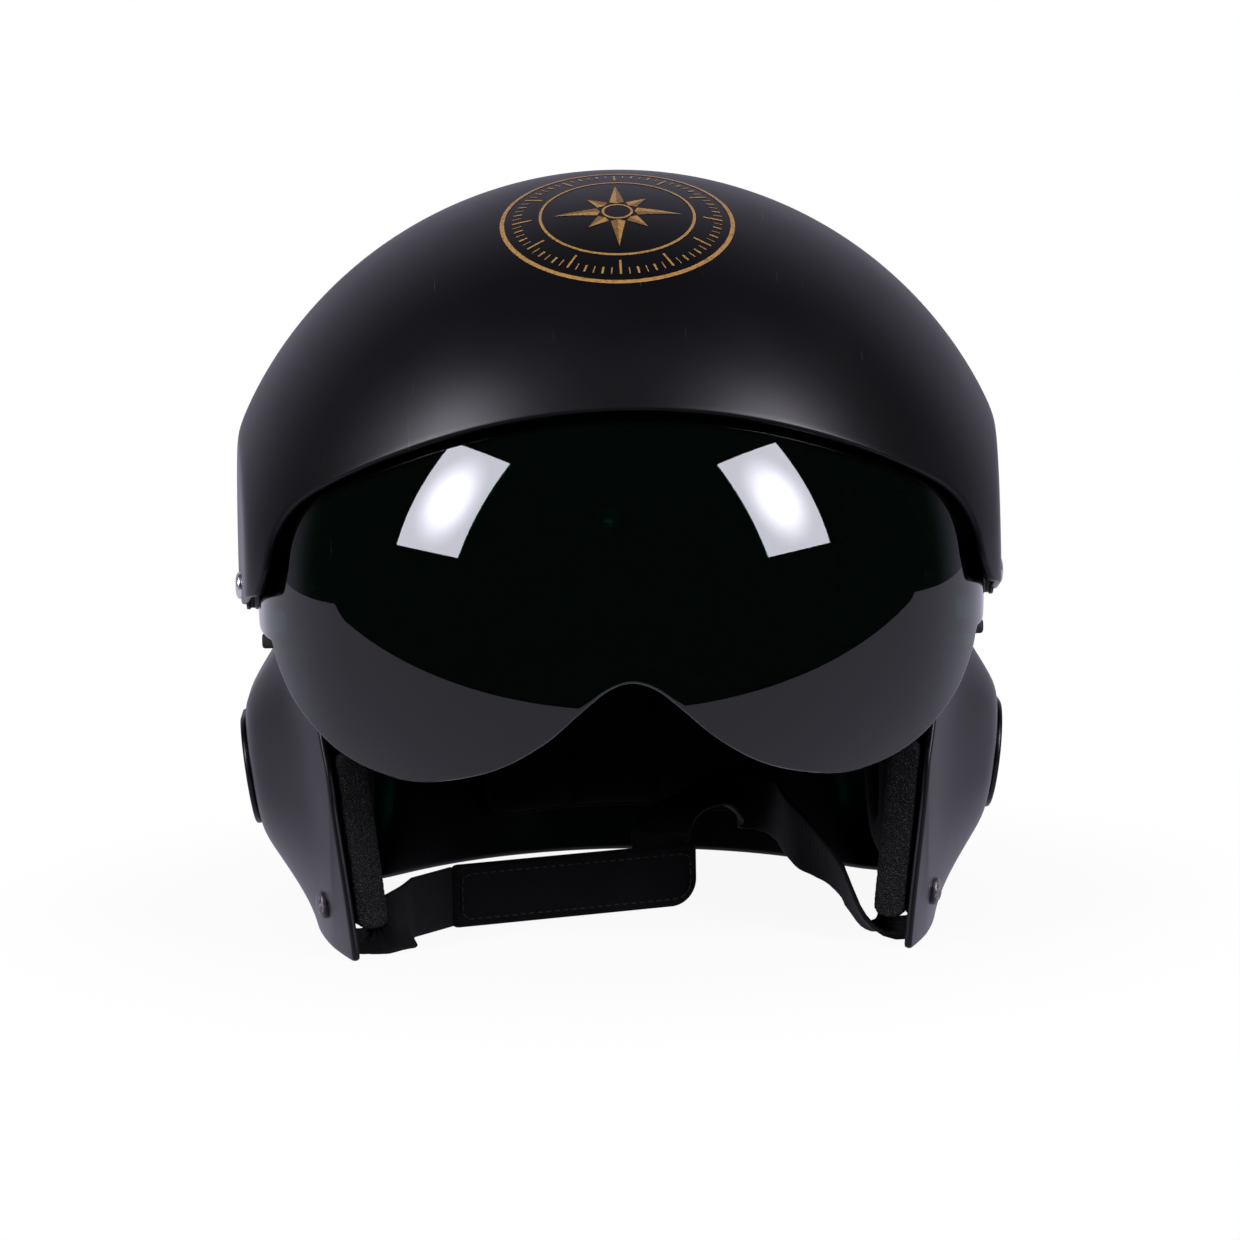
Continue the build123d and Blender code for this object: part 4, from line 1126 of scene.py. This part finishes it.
def cushion(
    name, place, outline, front, edge, back, crown, materials, rings=18, pucker=0.0, dent=None, **facts
):
    """A crowned form, over its front from the middle to the seam, then back along its rear.

    Returns the piece and the places of its seam."""
    middle = (outline.max(axis=0) + outline.min(axis=0)) / 2
    shares = np.sin(np.linspace(0, pi / 2, rings + 1))
    turns = np.linspace(0, 2 * pi, len(outline), endpoint=False)

    def ring(share, top):
        flat = middle + share * (outline - middle)
        spots, out = place(flat)
        swell = (1 - share**crown) ** 0.5
        height = edge + (top - edge) * swell
        height = height + pucker * np.sin(turns * 46) * share**6 * (1 - share) * 6
        if dent is not None and top > edge:
            height = height - dent(flat) * swell
        return spots + np.reshape(height, (-1, 1)) * out

    fronts = [ring(share, front) for share in shares[1:]]
    backs = [ring(share, back) for share in shares[-2:0:-1]]
    spots, out = place(middle[None])
    start_dent = 0 if dent is None else dent(middle[None])[0]
    start = spots[0] + (front - start_dent) * out[0]
    end = spots[0] + back * out[0]
    return closed_piece(name, fronts + backs, start, end, materials, **facts), fronts[-1]


def piping(name, path, radius, materials, count=10, **facts):
    """A round cord of cloth sewn into a seam that closes on itself."""
    along = unit(np.roll(path, -1, axis=0) - np.roll(path, 1, axis=0))
    across = unit(np.cross(along, along[:, [1, 2, 0]] + (0.1, 0.2, 0.3)))
    for step in range(1, len(path)):
        across[step] = unit(across[step - 1] - along[step] * (across[step - 1] @ along[step]))
    other = np.cross(along, across)
    turns = np.linspace(0, 2 * pi, count, endpoint=False)
    rings = np.stack([path + radius * (cos(turn) * across + sin(turn) * other) for turn in turns], axis=1)
    return piece(name, rings.reshape(-1, 3), ring_faces(len(path), count, wrap=True), materials, **facts)


def stitches(name, loop, out, materials, **facts):
    """Separate stitches of thread along a line, each dipping into the cloth at its ends."""
    line = even(np.hstack((loop, out)), max(4, int(path_length(loop) / stitch_pitch)), closed=True)
    sections = ((0, -0.6, 0.5), (0.25, 0.5, 1), (0.75, 0.5, 1), (1, -0.6, 0.5))
    points, faces = [], []
    for here, there in zip(line, np.roll(line, -1, axis=0)):
        along = unit(there[:3] - here[:3])
        raised = unit(here[3:])
        beside = np.cross(along, raised)
        shift = len(points)
        for share, lift, size in sections:
            middle = here[:3] + along * stitch_length * share + raised * thread_radius * lift
            for turn in np.linspace(0, 2 * pi, 6, endpoint=False):
                points.append(middle + thread_radius * size * (cos(turn) * raised + sin(turn) * beside))
        for low in range(shift, shift + 18):
            high = low - 5 if (low - shift) % 6 == 5 else low + 1
            faces.append((low, low + 6, high + 6, high))
        faces.append(tuple(range(shift + 5, shift - 1, -1)))
        faces.append(tuple(range(shift + 18, shift + 24)))
    return piece(name, points, faces, materials, **facts)


def path_length(points):
    """The length of a closed line."""
    return np.linalg.norm(np.roll(points, -1, axis=0) - points, axis=1).sum()


def on_band(flat):
    """Places on the band's middle plane, and the way out of its front."""
    spots = band_start + flat[:, :1] * band_along + flat[:, 1:] * upright
    return spots, rows(*band_out, flat[:, 0])[:, :3]


band_cloth = black_cloth("band_cloth", (0.0025, 0.0025, 0.0027), 420, 0.12 * mm)
thread = plain_black("black_thread", (0.004, 0.004, 0.004), 0.6, 3000, 0.02 * mm)
half_band = band_height / 2
band_corners = ((0, -half_band), (band_length, -half_band), (band_length, half_band), (0, half_band))
band_bends = (band_small_corner, band_corner, band_small_corner, band_small_corner)
band_outline = rounded_outline(band_corners, band_bends, 260)
chin_band, seam = cushion(
    "padded_chin_band", on_band, band_outline, band_thickness / 2, 0, -band_thickness / 2, 14, [band_cloth],
    rings=24, slot="webbing_black", replaces=["chin_band"],
)
stitch_corners = [
    np.array(corner) * (1, stitch_height_share) + (stitch_inset if corner[0] == 0 else -stitch_inset, 0)
    for corner in band_corners
]
stitch_bends = (band_small_corner, 0.6 * band_corner, band_small_corner, band_small_corner)
spots, out = on_band(rounded_outline(stitch_corners, stitch_bends, 200))
for face, lift in (("front", 1), ("rear", -1)):
    stitches(
        f"band_{face}_stitches", spots + out * lift * (band_thickness / 2 - stitch_sink), out * lift,
        [thread], slot="webbing_black",
    )

# Chin straps
# Black ribbed webbing, 20 mm wide. Each strap hangs from its rivet inside the cheek, bends
# inwards at the rim and runs, slack and twisted, to the chin band.
webbing_width = 20 * mm
webbing_thickness = 1.6 * mm
rivet_inner = shell_wall + rivet_boss_proud
webbing_end_height = 24.5 * mm
webbing_bend_height = 8 * mm
band_tab_length = 76 * mm
band_edge = 1.5 * mm
rib_pitch = 2.4 * mm
rib_relief = 0.16 * mm
loose_gap = 0.3 * mm
lying_gap = 0.2 * mm
cheek_reach = 30 * mm
right_webbing_route = (
    ((-92.2, -62.2, 4.4), (-0.1, 0.9, 0.3)),
    ((-88.4, -64.6, 2.3), (0.2, 0.97, 0)),
    ((-84.2, -66.4, 2.6), (0.25, 0.93, 0.25)),
    ((-80.2, -67.2, 4.6), (0.2, 0.75, 0.6)),
    ((-76.4, -66.0, 7.4), (0.1, 0.5, 0.85)),
    ((-73.2, -62.8, 9.8), (0.05, 0.25, 0.97)),
    ((-71.0, -57.4, 10.9), (0, 0, 1)),
    ((-69.0, -51.0, 11.1), (0, 0, 1)),
    ((-64.2, -44.2, 11.1), (0, 0, 1)),
)
left_webbing_route = (
    ((92.2, -62.2, 4.4), (0.1, 0.9, 0.3)),
    ((88.4, -65.5, 2.2), (-0.2, 0.96, 0)),
    ((84.0, -67.5, 2.0), (-0.1, 0.98, 0)),
    ((79.6, -67.5, 3.2), (-0.1, 0.98, -0.1)),
    ((76.0, -65.5, 6.0), (-0.1, 0.96, -0.15)),
    ((73.4, -62.0, 9.6), (-0.08, 0.95, -0.2)),
    ((71.4, -58.0, 13.4), (-0.08, 0.93, -0.25)),
    ((69.4, -53.0, 17.0), (-0.08, 0.88, -0.35)),
    ((66.4, -47.5, 20.4), (-0.1, 0.78, -0.5)),
    ((62.2, -41.5, 23.6), (-0.1, 0.62, -0.7)),
    ((58.0, -34.0, 26.0), (-0.1, 0.4, -0.9)),
    ((55.0, -22.0, 27.6), (0, 0.15, -1)),
    ((53.6, -6.0, 28.0), (0, 0, -1)),
    ((53.2, 12.0, 27.6), (0, 0, -1)),
    ((52.0, 27.0, 27.0), (0, 0, -1)),
    ((47.5, 36.5, 27.0), (0, 0, -1)),
    ((41.0, 37.5, 28.0), (0.25, -0.2, -0.95)),
    ((35.6, 31.0, 29.6), (0.6, -0.5, -0.6)),
    ((28.8, 20.8, 31.2), (0.78, -0.6, -0.1)),
    ((21.8, 10.4, 31.4), (0.85, -0.52, 0)),
    ((16.2, 0.8, 30.0), (0.9, -0.4, 0)),
    ((13.2, -5.8, 26.6), (0.93, -0.2, 0)),
)


def webbing(name, places, acrosses, materials, **facts):
    """Flat webbing along a smooth line, with woven ribs across it and rounded selvedges.

    It is kept inside the cheek's wall and off the table."""
    controls = through(np.hstack((places, acrosses)), 12)
    controls = even(controls, int(1200 * path_length(controls[:, :3]) / 2))
    spots = controls[:, :3]
    along = unit(np.gradient(spots, axis=0))
    across = unit(controls[:, 3:] - along * np.einsum("ij,ij->i", controls[:, 3:], along)[:, None])
    thin = np.cross(along, across)
    run = np.concatenate(((0,), np.cumsum(np.linalg.norm(np.diff(spots, axis=0), axis=1))))
    ribs = rib_relief * 0.5 * (1 + np.cos(2 * pi * run / rib_pitch))
    broad = np.linspace(-0.94, 0.94, 12)
    section = [(share, 1, 1) for share in broad] + [(0.985, 0.7, 0), (1, 0, 0), (0.985, -0.7, 0)]
    section += [(share, -1, -1) for share in broad[::-1]] + [(-0.985, -0.7, 0), (-1, 0, 0), (-0.985, 0.7, 0)]
    columns = []
    for wide, thick, ribbed in section:
        lift = thick * webbing_thickness / 2 - ribbed * ribs
        columns.append(spots + across * wide * webbing_width / 2 + thin * np.reshape(lift, (-1, 1)))
    rings = np.stack(columns, axis=1)
    past_wall = np.maximum(head_form(rings) + shell_wall + loose_gap, 0) * (rings[..., 2] < cheek_reach)
    rings[..., 0] -= np.sign(rings[..., 0]) * past_wall.max(axis=1)[:, None]
    rings[..., 2] += np.maximum(lying_gap - rings[..., 2].min(axis=1), 0)[:, None]
    return closed_piece(name, rings, spots[0], spots[-1], materials, **facts)


webbing_cloth = black_cloth("black_webbing", (0.0035, 0.0035, 0.0037), 520, 0.1 * mm, 0.75)
band_back = band_start - band_out * (band_thickness + webbing_thickness) / 2
strap_ends = {
    "right": [(band_start, upright)],
    "left": [
        (band_back + band_along * band_tab_length + upright * height, -band_along)
        for height in (half_band, band_edge - half_band)
    ],
}
routes = {"right": right_webbing_route, "left": left_webbing_route}
for side, sign in sides.items():
    spot, out = rivet_seat(side)
    strap_face = (spot - out * (rivet_inner + webbing_thickness / 2)) * (1, 1, 0)
    rivet_across = unit(np.cross(out, upright)) * sign
    controls = [
        (strap_face + upright * height, rivet_across) for height in (webbing_end_height, webbing_bend_height)
    ]
    controls += [(np.array(place) * mm, unit(across)) for place, across in routes[side]] + strap_ends[side]
    acrosses = [rivet_across]
    for place, across in controls[1:]:
        acrosses.append(across * (1 if across @ acrosses[-1] > 0 else -1))
    webbing(
        f"{side}_strap_webbing", [place for place, across in controls], acrosses, [webbing_cloth],
        slot="webbing_black", replaces=[f"{side}_chin_strap"],
    )

# Comfort pads
# Soft pads of black brushed cloth over foam line the crown, brow, rear, nape and temples.
# Each has a corded seam round it, and they are held to the shell's inside by hook tape.
pad_gap = 0.3 * mm
pad_thickness = 15 * mm
temple_pad_thickness = 12 * mm
pad_half_width = 50 * mm
pad_corner = 12 * mm
piping_radius = 0.9 * mm
pad_angles = {"brow_pad": (50, 68), "crown_pad": (73, 112), "rear_pad": (117, 148)}
nape_span = (14 * mm, 64 * mm)
temple_pad_place = np.array((-12, 152)) * mm
temple_pad_half_size = np.array((28, 20)) * mm
channel_depth = 3.5 * mm
channel_width = 2.2 * mm
pad_draw = 2 * mm
pad_pucker = 0.5 * mm


def lining_form(points):
    """How far points lie outside the layer that the pads rest on."""
    return head_form(points) + shell_wall + pad_gap


def on_lining(starts, ways):
    """Places where lines meet the inside of the shell, and the ways in from there."""
    spots = leave(lining_form, starts, ways)
    return spots, -facing(lining_form, spots)


def over_midline(flat):
    """Places on the lining for points given across, and by the arc over the crown."""
    turns = flat[:, 1] / crown_radius
    return on_lining(rows(flat[:, 0], *pivot[1:]), rows(0, -np.cos(turns), np.sin(turns)))


def over_nape(flat):
    """Places on the lining for points given across and up, at the back."""
    return on_lining(rows(flat[:, 0], 0, flat[:, 1]), to_rear)


def over_side(sign):
    """A rule for places on the lining at one side, for points given to the rear and up."""
    return lambda flat: on_lining(rows(0, flat[:, 0], flat[:, 1]), (sign, 0, 0))


def box_corners(low, high):
    """The corners of a flat box, in order."""
    return ((low[0], low[1]), (high[0], low[1]), (high[0], high[1]), (low[0], high[1]))


def drawn_in(outline, depth):
    """An outline whose sides pull in between its corners."""
    low, high = outline.min(axis=0), outline.max(axis=0)
    middle, half = (low + high) / 2, (high - low) / 2
    shares = (outline - middle) / half
    pull = depth * (1 - shares[:, ::-1] ** 2) * np.abs(shares) ** 6 * np.sign(shares)
    return outline - pull


def sewn_channels(lines):
    """A rule for how deep sewn channels draw a pad in, at points of its flat pattern."""
    return lambda flat: sum(
        channel_depth * np.exp(-(((flat[:, 0] - line) / channel_width) ** 2)) for line in lines
    )


def comfort_pad(name, place, low, high, thickness, corner, channels):
    """One pad, drawn in by its sewn channels, with its corded seam."""
    outline = drawn_in(rounded_outline(box_corners(low, high), (corner,) * 4, 150), pad_draw)
    pad, seam = cushion(
        f"{name}_cushion", place, outline, thickness * 0.97, thickness * 0.36, 0, 3.2, [pad_cloth], rings=22,
        pucker=pad_pucker, dent=sewn_channels(channels), slot="pad_black", replaces=[name],
    )
    piping(f"{name}_piping", even(seam, 220, closed=True), piping_radius, [piping_cloth], slot="pad_black")


pad_cloth = black_cloth("pad_cloth", (0.005, 0.005, 0.0052), 620, 0.1 * mm, 0.9)
piping_cloth = black_cloth("piping_cloth", (0.008, 0.008, 0.0083), 800, 0.05 * mm, 0.8)
wide_channels = (-pad_half_width / 3, pad_half_width / 3)
for name, angles in pad_angles.items():
    low, high = (radians(angle) * crown_radius for angle in angles)
    comfort_pad(
        name, over_midline, (-pad_half_width, low), (pad_half_width, high), pad_thickness,
        min(pad_corner, (high - low) * 0.3), wide_channels,
    )
comfort_pad(
    "nape_pad", over_nape, (-pad_half_width, nape_span[0]), (pad_half_width, nape_span[1]), pad_thickness,
    pad_corner, wide_channels,
)
for side, sign in sides.items():
    comfort_pad(
        f"{side}_temple_pad", over_side(sign), temple_pad_place - temple_pad_half_size,
        temple_pad_place + temple_pad_half_size, temple_pad_thickness, pad_corner, temple_pad_place[:1],
    )

# Ear pads
# Soft rings of the same cloth around the ears, standing in the mouths of the hollow bulges.
# The cloth puckers a little round the outside of each ring.
ear_ring_place = np.array((2, 53)) * mm
ear_ring_half_size = np.array((45, 38)) * mm
ear_ring_corner = 36 * mm
ear_hole_half_size = np.array((21, 23)) * mm
ear_hole_corner = 20 * mm
ear_ring_span = (84.4 * mm, 104.5 * mm)
ear_mouth_half_width = 42 * mm
ear_pucker = 0.25 * mm
ear_count = 160
ear_outer, ear_hole = (
    rounded_outline(
        box_corners(ear_ring_place - half_size, ear_ring_place + half_size), (corner,) * 4, ear_count
    )
    for half_size, corner in ((ear_ring_half_size, ear_ring_corner), (ear_hole_half_size, ear_hole_corner))
)
middle_out = sum(ear_ring_span) / 2
half_depth = (ear_ring_span[1] - ear_ring_span[0]) / 2
puckers = np.sin(np.linspace(0, 2 * pi, ear_count, endpoint=False) * 40)[:, None]
for side, sign in sides.items():
    rings = []
    for turn in np.linspace(0, 2 * pi, 36, endpoint=False):
        wide, deep = (np.sign(value) * abs(value) ** 0.65 for value in (cos(turn), sin(turn)))
        spread = ear_hole + (ear_outer - ear_hole) * (0.5 + 0.49 * wide) + puckers * ear_pucker * max(0, wide)
        rings.append(rows(sign * (middle_out + half_depth * deep), *spread.T))
    points = np.concatenate(rings)
    reach = leave(lining_form, points * (0, 1, 1), (sign, 0, 0))
    within = np.abs(points[:, 1] - bulge_root_place[0]) < ear_mouth_half_width
    limit = np.where(within, ear_ring_span[1], np.abs(reach[:, 0]) - pad_gap)
    points[:, 0] = sign * np.minimum(np.abs(points[:, 0]), limit)
    ear_ring = piece(
        f"{side}_ear_ring", points, ring_faces(36, ear_count, wrap=True), [pad_cloth], slot="pad_black",
        replaces=[f"{side}_ear_pad"],
    )

# Cheek pads and cover blocks
# Strips of open grey-black foam line the cheeks behind their front edges, with a pocket for
# the riveted webbing. Blocks of the same foam carry the cover on the crown.
cheek_thickness = 11 * mm
cheek_corners = ((-85.2, 9.5), (-78.5, 60), (-78.5, 66), (-48, 66), (-48, 9.5))
cheek_bends = (0.8, 4, 2, 3, 0.8)
pocket_depth = 4.5 * mm
pocket_half_width = 11.5 * mm
pocket_high = 27 * mm
block_places = {"right_cover_foam": (-62, 40), "middle_cover_foam": (0, 40), "left_cover_foam": (62, 40)}
block_half_size = np.array((16, 15)) * mm
block_corner = 2 * mm
block_gap = 0.5 * mm
foam_relief = 0.35 * mm


def open_foam():
    """Open foam: black cells with grey specks and a fuzzy surface."""
    material, tree, main = shader("open_foam", (0.008, 0.008, 0.008), 0.95, Specular_IOR_Level=0.1)
    place = add_node(tree, "TexCoord").outputs["Object"]
    cells = add_node(tree, "TexVoronoi", {"Vector": place, "Scale": 1700}).outputs["Distance"]
    specks = between(tree, noise(tree, 2600, 3), 0, 1, 0.5, 0.68)
    feed(tree, main, {"Base Color": blend_colours(tree, specks, (0.003, 0.003, 0.003), (0.03, 0.03, 0.03))})
    raise_by(tree, main, cells, 0.5 * mm)
    return material


def mesh_points(mesh, part="co"):
    """A mesh's points, or their normals."""
    return np.array([getattr(vertex, part)[:] for vertex in mesh.vertices])


def move_points(mesh, points):
    """Put a mesh's points in other places."""
    mesh.vertices.foreach_set("co", points.ravel())
    mesh.update()


def roughened(mesh, relief, seed):
    """Uneven cut foam: every point moved a little along its normal."""
    points, normals = mesh_points(mesh), mesh_points(mesh, "normal")
    jitter = np.random.default_rng(seed).uniform(-1, 1, len(points))[:, None]
    move_points(mesh, points - np.abs(jitter) * relief * normals)


foam = open_foam()
cheek_outline = rounded_outline(np.array(cheek_corners) * mm, np.array(cheek_bends) * mm, 260)
for side, sign in sides.items():
    lining = over_side(sign)
    cheek_pad, seam = cushion(
        f"{side}_cheek_foam", lining, cheek_outline, cheek_thickness, cheek_thickness * 0.5, 0, 22, [foam],
        rings=40, slot="foam_grey", replaces=[f"{side}_cheek_pad"],
    )
    points = mesh_points(cheek_pad.data)
    spots, out = lining(points[:, 1:])
    depth = np.einsum("ij,ij->i", points - spots, out)
    near = np.abs(points[:, 1] - rivet_place[0])
    inside = np.clip((pocket_half_width - near) / mm, 0, 1) * np.clip((pocket_high - points[:, 2]) / mm, 0, 1)
    points += out * np.maximum(inside * pocket_depth - depth, 0)[:, None]
    move_points(cheek_pad.data, points)
    roughened(cheek_pad.data, foam_relief, 11 + sign)

for name, place in block_places.items():
    place = np.array(place) * mm
    outline = rounded_outline(
        box_corners(place - block_half_size, place + block_half_size), (block_corner,) * 4, 120
    )
    low, high = [], []
    for share in (0.3, 0.6, 0.85, 1):
        starts = rows(*(place + (outline - place) * share).T, pivot[2])
        low.append(leave(head_form, starts, upright) + upright * block_gap)
        high.append(leave(cover_form, starts, upright) - upright * (shell_wall * 1.3 + block_gap))
    block = closed_piece(
        name, low + high[::-1], low[0].mean(axis=0), high[0].mean(axis=0), [foam], slot="foam_grey",
        replaces=["cover_foam_blocks"],
    )

cad_box, own_box = [[list(map(float, corner)) for corner in box] for box in (cad_box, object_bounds())]
